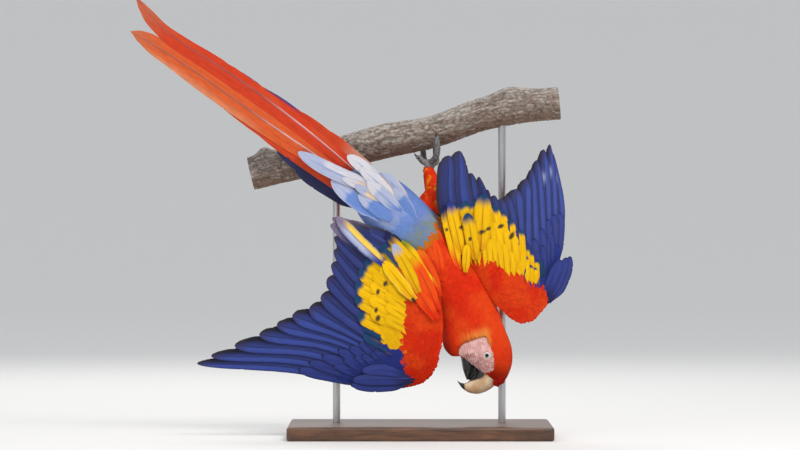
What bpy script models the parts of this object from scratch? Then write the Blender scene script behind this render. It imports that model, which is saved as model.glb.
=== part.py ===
# Scarlet macaw hanging head down under a cut length of branch, on a plain display stand.
#
# Metres, +Z up. The origin is the centre of the stand's underside. The bird's back faces -Y,
# its tail runs up to -X, and its head hangs down at +X with the right cheek towards -Y.
# Tables are in millimetres and are scaled by MM where they are used.

import math

import bmesh
import bpy
import numpy as np

COLLECTION = "scarlet_macaw"
CUTTERS = "cutters"

MM = 0.001
GAP = 0.35                       # clearance between neighbouring solids
CUT_GROWTH = 0.6                 # a cutter is the neighbour, grown by this along its normals
OVAL_POWER = 2.2                 # the ovals of the body, bill and coverts are superellipses
SHARP_ANGLE = 50                 # degrees; edges bent by more than this stay sharp

# Steps along and sides around each oval loft.
LOFT_DIVISIONS = {
    "trunk": (12, 20), "neck": (5, 20), "head": (9, 20),
    "bill_upper": (10, 12), "bill_lower": (6, 12), "tongue": (5, 8),
    "tail_coverts_upper": (5, 12), "tail_coverts_lower": (5, 12),
}

# Trunk, neck and head are one smooth loft. Each row is an oval section: left edge x, z,
# right edge x, z, centre y and half depth.
BODY = (
    (-109, 374, -77, 427, -25, 17),
    (-90, 344, -32, 408, -20, 31),
    (-61, 306, 10, 372, -13, 42),
    (-32, 264, 50, 334, -6, 50),
    (0, 222, 86, 293, -4, 51),
    (26, 197, 110, 243, -8, 43),
    (34, 168, 125, 202, -14, 36),
    (38, 145, 136, 171, -18, 32),
    (48, 132, 145, 147, -20, 29),
    (56, 130, 147, 122, -20, 27.5),
    (61, 131, 140, 99, -20, 24),
    (65, 131, 128, 82, -20, 17),
)
TRUNK_SPAN = (0.0, 5.4)          # rows of BODY that each node takes
NECK_SPAN = (5.4, 7.2)
HEAD_SPAN = (7.2, 11.0)

# The bill in the same kind of rows: inner edge, outer edge, centre y, half width.
BILL_UPPER = (
    (89.5, 111.5, 127.5, 82.0, -20, 15.5),
    (85.5, 99.5, 115.0, 77.5, -20, 14.0),
    (80.5, 93.0, 104.0, 72.0, -20, 11.5),
    (76.0, 88.5, 91.0, 70.0, -20, 9.0),
    (71.5, 86.5, 78.0, 72.0, -20, 6.5),
    (65.5, 86.0, 69.0, 78.0, -20, 4.0),
    (59.3, 91.0, 60.7, 88.5, -20, 1.2),
)
BILL_LOWER = (
    (64.7, 130.6, 85.0, 113.6, -20, 12.5),
    (66.0, 122.0, 84.6, 108.5, -20, 12.5),
    (68.0, 110.0, 81.3, 103.0, -20, 10.5),
    (71.5, 99.0, 78.2, 97.5, -20, 7.5),
    (74.6, 91.8, 76.4, 93.2, -20, 4.0),
)
TONGUE = (
    (85.6, 113.1, 88.6, 110.9, -20, 5.0),
    (85.3, 108.0, 87.5, 107.0, -20, 5.0),
    (82.4, 102.4, 84.9, 101.2, -20, 4.2),
    (80.6, 98.4, 81.8, 97.6, -20, 2.2),
)
EYE_X, EYE_Z = 106, 132
EYE_RADIUS = 7.5
EYE_STANDS_OUT = 2.4             # how far the eyeball passes the cheek
EYE_SEGMENTS, EYE_RINGS = 12, 7
CHEEK_SPAN = (7, 11)             # rows of BODY searched for the cheek under the eye
CHEEK_STEPS = 400

# Coverts that lie over and under the base of the tail, in rows like BODY.
TAIL_COVERTS_UPPER = (
    (-109.3, 374.4, -77.3, 427.4, -35.3, 6.6),
    (-140, 402, -112, 448, -35.5, 4.6),
    (-173, 430, -150, 461, -35.5, 3.0),
    (-194, 450, -186, 457, -34.5, 1.2),
)
TAIL_COVERTS_LOWER = (
    (-109.3, 374.4, -77.3, 427.4, -17.0, 8.6),
    (-140, 402, -112, 448, -20.5, 6.4),
    (-173, 428, -146, 464, -25.0, 4.0),
    (-216, 462, -206, 478, -28.0, 1.2),
)

# Tail feather tips of each side, middle pair first: along the tail and across from its axis.
TAIL_ROOT = (-94, -27, 404.5)
TAIL_ALONG = (-0.811, 0.0, 0.586)
TAIL_ACROSS = (0.586, 0.0, 0.811)
TAIL_RISE = -16                  # the tips come this much nearer to -Y than the root
TAIL_FORK = (401, 0)             # where the middle pair part
TAIL_LEFT_TIPS = ((465, 28), (352, 28), (284, 35), (218, 38), (156, 40), (104, 40))
TAIL_RIGHT_TIPS = ((432, 19), (340, 30), (270, 33), (200, 34), (140, 38), (92, 40))
TAIL_BASE_HALF = 24
TAIL_NOTCH = 14
TAIL_OUTER_STEP = 16             # the outermost edge ends this far short of the last tip
TAIL_ROWS = 4                    # rows of faces along a tail feather

# A wing is a fan of feathers. Each row: feather number, leading edge, edge of the coverts,
# feather tip. Feather 0 is the innermost tertial, 14 the outermost primary.
WING_RIGHT = (
    (0.0, (29, -53, 238), (-40, -55, 313), (-108, -49, 341)),
    (1.5, (35, -50, 210), (-60, -55, 302), (-140, -51, 350)),
    (4.0, (38, -46, 172), (-93, -53, 268), (-135, -54, 310)),
    (6.5, (35, -44, 140), (-99, -50, 208), (-146, -53, 256)),
    (8.0, (27, -40, 110), (-86, -46, 164), (-164, -50, 217)),
    (9.5, (8, -34, 88), (-92, -43, 149), (-203, -45, 196)),
    (11.5, (-14, -31, 81), (-124, -39, 140), (-256, -37, 165)),
    (13.5, (-34, -29, 79), (-168, -33, 121), (-333, -24, 130)),
    (15.0, (-47, -28, 80), (-194, -28, 104), (-366, -12, 112)),
)
WING_LEFT = (
    (0.0, (97, -34, 248), (38, -48, 356), (37, -46, 444)),
    (1.5, (103, -34, 236), (58, -48, 368), (62, -46, 457)),
    (4.0, (119, -32, 212), (98, -44, 375), (100, -42, 406)),
    (6.5, (142, -25, 190), (131, -34, 358), (129, -29, 384)),
    (8.0, (160, -16, 180), (153, -22, 330), (144, -19, 390)),
    (9.5, (178, -6, 183), (170, -10, 308), (169, -5, 413)),
    (11.5, (196, 4, 200), (194, 6, 328), (187, 14, 443)),
    (13.5, (208, 11, 215), (214, 18, 352), (209, 36, 469)),
    (15.0, (221, 17, 240), (231, 27, 357), (217, 44, 444)),
)
ARM_SPAN = (0.0, 8.0)
HAND_SPAN = (8.04, 15.0)
FEATHER_NODES = (("tertials", 0, 3), ("secondaries", 3, 8), ("primaries", 8, 15))
ARM_THICKNESS = (9.0, 16.0, 13.0)        # at the shoulder, mid-arm and wrist
HAND_THICKNESS = (12.0, 8.0, 5.0)
CHORD_POINTS = 7
AEROFOIL_SWELL = 1.45            # half thickness is swell * sqrt(c) * (1 - c)**taper + edge * c,
AEROFOIL_TAPER = 0.9             # with c from 0 at the leading edge to 1 at the coverts' edge
AEROFOIL_EDGE = 0.8
AEROFOIL_CAMBER = 0.9
AEROFOIL_UNDER = 0.8             # share of the half thickness below the middle line
NORMAL_STEP = 0.4                # feather numbers to either side that set a wing's upward direction
NORMAL_BIAS = (0, -1.2, 0)
VANE_THICKNESS = 1.2
VANE_CROWN = 0.7                 # rise of a vane over its shaft
VANE_SHARP_ANGLE = 35
VANE_ROWS = {"tertials": 2, "secondaries": 2, "primaries": 3}
VANE_START_GAPS = 3              # clearances between the coverts and the feathers' bases
RIBS_PER_FEATHER = 4
RIB_INSET = 0.012                # keeps the outermost ribs of neighbouring sheets apart
NOTCH_POWER = 2.2
NOTCH_FEATHERS = (0, 4, 8, 12, 15)       # the notches between feather tips deepen outwards
NOTCH_DEPTHS = (13, 9, 12, 22, 30)

# The alula is a short blade on the back of the wrist: base, middle and tip.
ALULA_RIGHT = ((-22, -46, 95), (-66, -42, 88), (-110, -37, 88))
ALULA_LEFT = ((208, 4, 220), (226, 12, 252), (239, 18, 290))
ALULA_WIDTH = 17
ALULA_HALF_THICKNESS = 1.3
ALULA_STEPS, ALULA_SIDES = 6, 8
ALULA_WIDEST = 0.2               # width is sqrt(full - (share - widest)**2 / spread) of the widest
ALULA_FULL = 1.04
ALULA_SPREAD = 0.64
ALULA_LEAST = 0.05

# The left leg. Toe paths start inside the ball of the foot. The right leg is its mirror.
FOOT_BALL = (16, 20, 436)
BALL_RADIUS = 9.4
BALL_SEGMENTS, BALL_RINGS = 10, 7
THIGHS = {
    "left": ((14.5, 17, 424, 8.5), (19, 12, 408, 12), (24, 6, 388, 18), (12, 0, 352, 29)),
    "right": ((-104.5, 17, 394, 8.5), (-97, 14, 384, 12), (-80, 9, 370, 18), (-50, 3, 348, 26)),
}
THIGH_STEPS, THIGH_SIDES = 6, 12
SHANK_RADII = (6.5, 6, 5)
TUBE_SIDES = 7                   # toes, shanks and claws
TUBE_REFERENCE = (0.31, 0.22, 0.92)
STEEP_REFERENCE = (1, 0, 0)      # used instead by a tube that starts steeper than this
STEEP = 0.9
TOE_RADIUS = 5.2
TOE_TAPER = 0.84
TOE_STEPS = 6
ROUND_END = ((0.6, 0.8), (0.95, 0.35))   # rings past a toe's end: distance and size in end radii
TOES = (
    ((17, 16, 439), (25, 5, 447), (28, 1.5, 461), (26.5, 1.0, 476)),
    ((13, 20, 438), (5, 21, 441), (-1, 23, 447)),
    ((20, 26, 438), (26, 44, 441), (26, 59, 453), (25, 66.5, 472)),
    ((14, 27, 438), (9, 44, 440), (6, 57, 449), (5, 66, 468)),
)
CLAWS = (
    ((26.4, 1.4, 477.0), (26.2, 1.8, 482.5), (25.8, 5.6, 487.5)),
    ((-2.0, 23.4, 448.2), (-6.0, 25.0, 450.0), (-9.0, 30.0, 454.2)),
    ((25.0, 66.6, 473.2), (25.0, 67.6, 480.0), (25.0, 63.2, 486.4)),
    ((4.9, 66.2, 469.2), (4.8, 68.0, 476.0), (4.6, 64.2, 482.4)),
)
CLAW_RADIUS = 2.6
CLAW_TIP = 0.16
CLAW_POWER = 0.8
CLAW_STEPS = 4
RIGHT_FOOT_X = -106

# Branch: centreline through these points, round, with a broken stub and a knot on top.
BRANCH_Y = 34
BRANCH_RADIUS = 27
BRANCH_LINE = ((-272, 421), (-192, 440), (-118, 457), (-50, 474), (24, 490), (107, 519),
               (160, 529), (224, 535))
BRANCH_STEPS, BRANCH_SIDES = 19, 14
BRANCH_SLOPE_SPAN = (-20, 30)    # the slope under the feet is taken between these
# Each bump: x, width along the branch, height, and half angle round from the top.
BRANCH_BUMPS = ((-243, 14, 12, 40), (147, 24, 8, 60), (-60, 40, 3, 90))
BUMP_EDGE = 4                    # how steeply a bump falls away at its sides

# Display stand.
BASE_SIZE = (420, 260, 22)
BASE_BEVEL = 4
BEVEL_SEGMENTS = 2
ROD_RADIUS = 6
ROD_SIDES = 16
ROD_SHARP_ANGLE = 40
ROD_X = (-134, 132)
ROD_SINKS = 12                   # depth of the rod in the base
ROD_ENTERS = 20                  # depth of the rod in the branch


def smooth(knots, values, at):
    """Cubic Hermite curve through values at the knots, with central-difference tangents."""
    knots = np.asarray(knots, float)
    values = np.asarray(values, float)
    at = np.atleast_1d(np.asarray(at, float))
    slope = np.gradient(values, knots, axis=0)
    k = np.clip(np.searchsorted(knots, at, side="right") - 1, 0, len(knots) - 2)
    step = (knots[k + 1] - knots[k])[:, None]
    f = (at[:, None] - knots[k][:, None]) / step
    start = (2 * f**3 - 3 * f**2 + 1) * values[k] + (f**3 - 2 * f**2 + f) * step * slope[k]
    end = (3 * f**2 - 2 * f**3) * values[k + 1] + (f**3 - f**2) * step * slope[k + 1]
    return start + end


def unit(vectors):
    return vectors / np.linalg.norm(vectors, axis=-1, keepdims=True)


def material(name, colour, roughness, metallic=0.0):
    found = bpy.data.materials.get(name)
    if found:
        return found
    made = bpy.data.materials.new(name)
    made.use_nodes = True
    shader = made.node_tree.nodes["Principled BSDF"]
    shader.inputs["Base Color"].default_value = (*colour, 1.0)
    shader.inputs["Roughness"].default_value = roughness
    shader.inputs["Metallic"].default_value = metallic
    return made


def add_mesh(name, points, faces, finish, smooth_angle=SHARP_ANGLE):
    """A node from points in millimetres; its faces are turned to look outwards."""
    mesh = bpy.data.meshes.new(name)
    mesh.from_pydata((np.asarray(points) * MM).tolist(), [], [list(face) for face in faces])
    work = bmesh.new()
    work.from_mesh(mesh)
    bmesh.ops.recalc_face_normals(work, faces=work.faces)
    work.to_mesh(mesh)
    work.free()
    mesh.shade_smooth()
    mesh.set_sharp_from_angle(angle=math.radians(smooth_angle))
    made = bpy.data.objects.new(name, mesh)
    made.data.materials.append(finish)
    bpy.data.collections[COLLECTION].objects.link(made)
    return made


def loft(name, rings, finish):
    """A closed solid through rings of equal size, capped at both ends."""
    rings = np.asarray(rings)
    count, sides = rings.shape[:2]
    faces = []
    for row in range(count - 1):
        for side in range(sides):
            turn = (side + 1) % sides
            faces.append((row * sides + side, row * sides + turn,
                          (row + 1) * sides + turn, (row + 1) * sides + side))
    faces.append(range(sides - 1, -1, -1))
    faces.append(range((count - 1) * sides, count * sides))
    return add_mesh(name, rings.reshape(-1, 3), faces, finish)


def oval_rings(rows, sides):
    """Superellipse sections, each between its two edge points and as deep as its row says."""
    rows = np.asarray(rows, float)
    angle = np.arange(sides) * 2 * math.pi / sides
    side = np.sign(np.cos(angle)) * np.abs(np.cos(angle)) ** (2 / OVAL_POWER)
    depth = np.sign(np.sin(angle)) * np.abs(np.sin(angle)) ** (2 / OVAL_POWER)
    middle = (rows[:, 0:2] + rows[:, 2:4]) / 2
    half = (rows[:, 2:4] - rows[:, 0:2]) / 2
    rings = np.empty((len(rows), sides, 3))
    rings[:, :, 0] = middle[:, 0:1] + half[:, 0:1] * side
    rings[:, :, 2] = middle[:, 1:2] + half[:, 1:2] * side
    rings[:, :, 1] = rows[:, 4:5] + rows[:, 5:6] * depth
    return rings


def oval_loft(name, table, span, finish):
    """A loft through the rows of a table from span[0] to span[1]."""
    steps, sides = LOFT_DIVISIONS[name]
    at = np.linspace(span[0], span[1], steps + 1)
    rings = oval_rings(smooth(np.arange(len(table)), table, at), sides)
    if span[0] > 0:
        along = unit(rings[1].mean(axis=0) - rings[0].mean(axis=0))
        normal = unit(np.cross(rings[0, 1] - rings[0, 0], rings[0, sides // 2] - rings[0, 0]))
        rings[0] += normal * np.sign(normal @ along) * GAP
    return loft(name, rings, finish)


def tube_rings(path, radii, sides):
    """Round sections square to a path."""
    path = np.asarray(path, float)
    along = unit(np.gradient(path, axis=0))
    reference = TUBE_REFERENCE if abs(along[0, 2]) < STEEP else STEEP_REFERENCE
    first = unit(np.cross(along, reference))
    second = np.cross(along, first)
    angle = np.arange(sides) * 2 * math.pi / sides
    circle = first[:, None] * np.cos(angle)[:, None] + second[:, None] * np.sin(angle)[:, None]
    return path[:, None] + circle * np.asarray(radii, float)[:, None, None]


def round_ended(path, radii, steps):
    """A path resampled to steps, with its radii closing to a round far end."""
    knots = np.arange(len(path))
    at = np.linspace(0, len(path) - 1, steps)
    points = smooth(knots, path, at)
    sizes = smooth(knots, np.asarray(radii, float)[:, None], at)[:, 0]
    outward = unit(points[-1] - points[-2])
    reach, size = np.array(ROUND_END).T
    tip = points[-1] + outward * sizes[-1] * reach[:, None]
    return np.vstack([points, tip]), np.concatenate([sizes, sizes[-1] * size])


def grown_cutter(source):
    """A hidden copy of a solid, moved out along its normals to leave a clearance."""
    mesh = source.data.copy()
    work = bmesh.new()
    work.from_mesh(mesh)
    work.normal_update()
    for vert in work.verts:
        vert.co += vert.normal * CUT_GROWTH * MM
    work.to_mesh(mesh)
    work.free()
    return hide_cutter(bpy.data.objects.new(source.name + "_cutter", mesh))


def hide_cutter(cutter):
    cutter.hide_render = True
    cutter.display_type = "WIRE"
    bpy.data.collections[CUTTERS].objects.link(cutter)
    return cutter


def combine(target, other, operation="DIFFERENCE"):
    change = target.modifiers.new(other.name, "BOOLEAN")
    change.operation = operation
    change.solver = "EXACT"
    change.object = other


def wing_curves(table, at):
    """Leading edge, covert edge and tip points at the feather numbers asked for."""
    knots = [row[0] for row in table]
    return [smooth(knots, [row[column] for row in table], at) for column in (1, 2, 3)]


def wing_normals(table, at):
    """The direction out of the wing's upper side, at each feather number."""
    lead, _, tip = wing_curves(table, at)
    before = sum(wing_curves(table, np.maximum(at - NORMAL_STEP, 0))[1:])
    after = sum(wing_curves(table, np.minimum(at + NORMAL_STEP, table[-1][0]))[1:])
    normal = unit(np.cross(tip - lead, after - before))
    return unit(normal * -np.sign(normal[:, 1:2]) + np.array(NORMAL_BIAS))


def covert_blade(name, table, span, thickness, finish):
    """The covert-covered part of a wing: aerofoil sections from leading to covert edge."""
    inner = np.arange(math.floor(span[0]) + 1, math.ceil(span[1]))
    at = np.concatenate([[span[0]], inner, [span[1]]])
    lead, edge, _ = wing_curves(table, at)
    normal = wing_normals(table, at)
    full = np.interp(at, np.linspace(span[0], span[1], len(thickness)), thickness)
    chord = (0.5 - 0.5 * np.cos(np.linspace(0, math.pi, CHORD_POINTS)))[None, :, None]
    line = lead[:, None] + (edge - lead)[:, None] * chord
    swell = AEROFOIL_SWELL * np.sqrt(chord) * (1 - chord) ** AEROFOIL_TAPER
    half = swell * full[:, None, None] / 2 + AEROFOIL_EDGE * chord
    camber = AEROFOIL_CAMBER * full[:, None, None] * chord * (1 - chord)
    upper = line + normal[:, None] * (camber + half)
    lower = line + normal[:, None] * (camber - half * AEROFOIL_UNDER)
    rings = np.concatenate([upper, lower[:, :0:-1]], axis=1)
    return loft(name, rings, finish)


def vane_sheet(name, base, tip, normal, quarters, notch, finish, rows):
    """Feathers side by side as one sheet with a comb of tips along its far edge.

    quarters gives each rib's place in its feather, from -1 at one edge to 1 at the other.
    A rib is shortened towards the feather's edges and raised over its shaft.
    """
    length = np.linalg.norm(tip - base, axis=1)
    short = (length - notch * np.abs(quarters) ** NOTCH_POWER) / length
    reach = (np.linspace(0, 1, rows + 1)[None, :] * short[:, None])[:, :, None]
    grid = base[:, None] + (tip - base)[:, None] * reach
    crown = VANE_CROWN * (1 - np.abs(quarters))[:, None, None] * np.sin(math.pi * reach)
    grid = grid + normal[:, None] * crown
    ribs = len(grid)
    half = normal[:, None] * VANE_THICKNESS / 2
    points = np.concatenate([(grid + half).reshape(-1, 3), (grid - half).reshape(-1, 3)])
    wide = rows + 1
    below = ribs * wide
    faces = []
    for rib in range(ribs - 1):
        for row in range(rows):
            a = rib * wide + row
            faces.append((a, a + 1, a + wide + 1, a + wide))
            faces.append((below + a, below + a + wide, below + a + wide + 1, below + a + 1))
        for a in (rib * wide, rib * wide + rows):
            faces.append((a, a + wide, below + a + wide, below + a))
    for row in range(rows):
        for a in (row, (ribs - 1) * wide + row):
            faces.append((a, a + 1, below + a + 1, below + a))
    return add_mesh(name, points, faces, finish, VANE_SHARP_ANGLE)


def rib_places(first, last):
    """Feather numbers of the ribs between first and last, and each one's place in its feather."""
    at = np.arange(first * RIBS_PER_FEATHER, last * RIBS_PER_FEATHER + 1) / RIBS_PER_FEATHER
    return at, 2 * (at - np.floor(at)) - 1


def build_wing(side, table, alula, alula_up, finishes):
    red, blue = finishes
    arm = covert_blade("wing_arm_" + side, table, ARM_SPAN, ARM_THICKNESS, red)
    covert_blade("wing_hand_" + side, table, HAND_SPAN, HAND_THICKNESS, blue)
    for part, first, last in FEATHER_NODES:
        at, quarters = rib_places(first, last)
        inset = np.clip(at, first + RIB_INSET, last - RIB_INSET)
        tip = wing_curves(table, inset)[2]
        whole = np.arange(last + 1)
        corners = wing_curves(table, whole)[1]
        edge = np.stack([np.interp(inset, whole, corners[:, axis]) for axis in range(3)], axis=1)
        base = edge + unit(tip - edge) * VANE_START_GAPS * GAP
        notch = np.interp(at, NOTCH_FEATHERS, NOTCH_DEPTHS)
        normal = wing_normals(table, inset)
        vane_sheet(part + "_" + side, base, tip, normal, quarters, notch, blue, VANE_ROWS[part])
    build_alula(side, alula, alula_up, blue)
    return arm


def build_alula(side, points, up, finish):
    """A flat oval blade along a curve through three points."""
    share = np.linspace(0, 1, ALULA_STEPS)
    path = smooth((0, 1, 2), points, share * 2)
    fall = (share - ALULA_WIDEST) ** 2 / ALULA_SPREAD
    width = ALULA_WIDTH * np.sqrt(np.clip(ALULA_FULL - fall, ALULA_LEAST, 1))
    across = unit(np.cross(np.gradient(path, axis=0), up))
    angle = np.arange(ALULA_SIDES) * 2 * math.pi / ALULA_SIDES
    ring = across[:, None] * np.cos(angle)[:, None] * width[:, None, None] / 2
    lift = np.asarray(up)[None, None] * np.sin(angle)[:, None] * ALULA_HALF_THICKNESS
    loft("alula_" + side, path[:, None] + ring + lift, finish)


def build_tail(side, tips, sign, finish):
    """Six tail feathers of one side, the middle one longest."""
    at, quarters = rib_places(0, 6)
    outer = (tips[-1][0] - TAIL_OUTER_STEP, tips[-1][1])
    corners = np.array([TAIL_FORK, *tips, outer], float)
    places = (0, 0.5, 1.5, 2.5, 3.5, 4.5, 5.5, 6)
    reach = np.interp(at, places, corners[:, 0])
    over = np.interp(at, places, corners[:, 1])
    start = GAP / 2 + TAIL_BASE_HALF * at / 6
    over[0] = start[0]
    root = np.asarray(TAIL_ROOT, float)
    along = np.asarray(TAIL_ALONG)
    across = np.asarray(TAIL_ACROSS) * sign
    base = root + across * start[:, None] + along * 2 * GAP
    tip = root + along * reach[:, None] + across * over[:, None]
    tip[:, 1] += TAIL_RISE * reach / TAIL_LEFT_TIPS[0][0]
    normal = np.tile((0.0, -1.0, 0.0), (len(at), 1))
    notch = np.where(at == 0, 0.0, TAIL_NOTCH)
    vane_sheet("tail_feathers_" + side, base, tip, normal, quarters, notch, finish, TAIL_ROWS)


def body_surface(x, z):
    """The nearest body row at (x, z), and the half depth of the body there."""
    at = np.linspace(*CHEEK_SPAN, CHEEK_STEPS)
    rows = smooth(np.arange(len(BODY)), BODY, at)
    left, right = rows[:, 0:2], rows[:, 2:4]
    share = np.einsum("ij,ij->i", np.array((x, z)) - left, right - left)
    share /= np.einsum("ij,ij->i", right - left, right - left)
    miss = np.linalg.norm(left + (right - left) * share[:, None] - (x, z), axis=1)
    best = int(np.argmin(miss))
    depth = rows[best, 5] * (1 - abs(2 * share[best] - 1) ** OVAL_POWER) ** (1 / OVAL_POWER)
    return rows[best, 4], depth


def build_eyes(head, finish):
    centre, depth = body_surface(EYE_X, EYE_Z)
    for side, sign in (("right", -1), ("left", 1)):
        y = centre + sign * (depth + EYE_STANDS_OUT - EYE_RADIUS)
        for name, radius in (("eye_" + side, EYE_RADIUS), ("socket_" + side, EYE_RADIUS + GAP)):
            bpy.ops.mesh.primitive_uv_sphere_add(segments=EYE_SEGMENTS, ring_count=EYE_RINGS,
                                                 radius=radius * MM,
                                                 location=(EYE_X * MM, y * MM, EYE_Z * MM))
            made = bpy.context.object
            made.name = name
            made.data.shade_smooth()
            bpy.context.collection.objects.unlink(made)
            if name.startswith("socket"):
                combine(head, hide_cutter(made))
            else:
                made.data.materials.append(finish)
                bpy.data.collections[COLLECTION].objects.link(made)


def mirrored(points, side):
    """Left-leg points, or their mirror images placed at the right foot."""
    points = np.array(points, float)
    if side == "right":
        drop = branch_height(FOOT_BALL[0]) - branch_height(RIGHT_FOOT_X)
        lean = branch_slope() * 2 * (points[..., 0] - FOOT_BALL[0])
        points[..., 2] -= drop + np.where(points[..., 2] > FOOT_BALL[2], lean, 0)
        points[..., 0] = RIGHT_FOOT_X - (points[..., 0] - FOOT_BALL[0])
    return points


def branch_height(x):
    line = np.asarray(BRANCH_LINE, float)
    return float(smooth(line[:, 0], line[:, 1:2], x)[0, 0])


def branch_slope():
    low, high = BRANCH_SLOPE_SPAN
    return (branch_height(high) - branch_height(low)) / (high - low)


def build_leg(side, trunk, finishes):
    red, scaly, horn = finishes
    foot = None
    for toe in TOES:
        taper = np.linspace(1, TOE_TAPER, len(toe)) * TOE_RADIUS
        path, radii = round_ended(mirrored(toe, side), taper, TOE_STEPS)
        made = loft("foot_" + side, tube_rings(path, radii, TUBE_SIDES), scaly)
        if foot is None:
            foot = made
        else:
            join(foot, made)
    ball_centre = mirrored(FOOT_BALL, side)
    shank = (ball_centre, THIGHS[side][0][:3], THIGHS[side][1][:3])
    join(foot, loft("shank_" + side, tube_rings(shank, SHANK_RADII, TUBE_SIDES), scaly))
    bpy.ops.mesh.primitive_uv_sphere_add(segments=BALL_SEGMENTS, ring_count=BALL_RINGS,
                                         radius=BALL_RADIUS * MM, location=ball_centre * MM)
    ball = bpy.context.object
    bpy.context.collection.objects.unlink(ball)
    bpy.data.collections[COLLECTION].objects.link(ball)
    join(foot, ball)
    cutter = grown_cutter(foot)
    for number, claw in enumerate(CLAWS, 1):
        path = smooth(np.arange(3), mirrored(claw, side), np.linspace(0, 2, CLAW_STEPS))
        radii = np.linspace(1, CLAW_TIP, CLAW_STEPS) ** CLAW_POWER * CLAW_RADIUS
        made = loft("claw_%s_%d" % (side, number), tube_rings(path, radii, TUBE_SIDES), horn)
        combine(made, cutter)
    rows = smooth(np.arange(4), THIGHS[side], np.linspace(0, 3, THIGH_STEPS))
    thigh = loft("thigh_" + side, tube_rings(rows[:, :3], rows[:, 3], THIGH_SIDES), red)
    combine(thigh, cutter)
    combine(trunk, grown_cutter(thigh))


def join(target, other):
    """Union other into target for good, so that the result is one plain mesh."""
    combine(target, other, "UNION")
    mesh = evaluated_mesh(target)
    target.modifiers.clear()
    target.data = mesh
    bpy.data.objects.remove(other)


def evaluated_mesh(source):
    bpy.context.view_layer.update()
    graph = bpy.context.evaluated_depsgraph_get()
    return bpy.data.meshes.new_from_object(source.evaluated_get(graph))


def build_branch(finish):
    line = np.asarray(BRANCH_LINE, float)
    x = line[0, 0] + (line[-1, 0] - line[0, 0]) * np.linspace(0, 1, BRANCH_STEPS)
    path = np.zeros((len(x), 3))
    path[:, 0] = x
    path[:, 1] = BRANCH_Y
    path[:, 2] = smooth(line[:, 0], line[:, 1:2], x)[:, 0]
    rings = tube_rings(path, np.full(len(x), BRANCH_RADIUS), BRANCH_SIDES)
    centre = path[:, None]
    up = (rings - centre)[..., 2] / BRANCH_RADIUS
    swell = np.zeros_like(up)
    for place, width, height, top in BRANCH_BUMPS:
        reach = np.exp(-((x - place) / width) ** 2)[:, None]
        swell += reach * height * np.clip((up - math.cos(math.radians(top))) * BUMP_EDGE, 0, 1)
    rings = centre + (rings - centre) * (1 + swell / BRANCH_RADIUS)[..., None]
    return loft("perch_branch", rings, finish)


def build_stand(branch, wood, steel):
    width, depth, height = BASE_SIZE
    bpy.ops.mesh.primitive_cube_add(size=1, location=(0, 0, height / 2 * MM))
    base = bpy.context.object
    base.name = "stand_base"
    base.data.transform(((width * MM, 0, 0, 0), (0, depth * MM, 0, 0), (0, 0, height * MM, 0),
                         (0, 0, 0, 1)))
    base.data.materials.append(wood)
    bpy.context.collection.objects.unlink(base)
    bpy.data.collections[COLLECTION].objects.link(base)
    bevel = base.modifiers.new("edges", "BEVEL")
    bevel.width = BASE_BEVEL * MM
    bevel.segments = BEVEL_SEGMENTS
    for number, x in enumerate(ROD_X, 1):
        low = height - ROD_SINKS
        high = branch_height(x) - BRANCH_RADIUS + ROD_ENTERS
        rod = add_rod("stand_rod_%d" % number, x, low, high, ROD_RADIUS)
        rod.data.materials.append(steel)
        bpy.data.collections[COLLECTION].objects.link(rod)
        hole = add_rod("rod_hole_%d" % number, x, low - GAP, high + GAP, ROD_RADIUS + GAP)
        hide_cutter(hole)
        combine(base, hole)
        combine(branch, hole)


def add_rod(name, x, low, high, radius):
    bpy.ops.mesh.primitive_cylinder_add(vertices=ROD_SIDES, radius=radius * MM,
                                        depth=(high - low) * MM,
                                        location=(x * MM, BRANCH_Y * MM, (low + high) / 2 * MM))
    rod = bpy.context.object
    rod.name = name
    rod.data.shade_smooth()
    rod.data.set_sharp_from_angle(angle=math.radians(ROD_SHARP_ANGLE))
    bpy.context.collection.objects.unlink(rod)
    return rod


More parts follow.
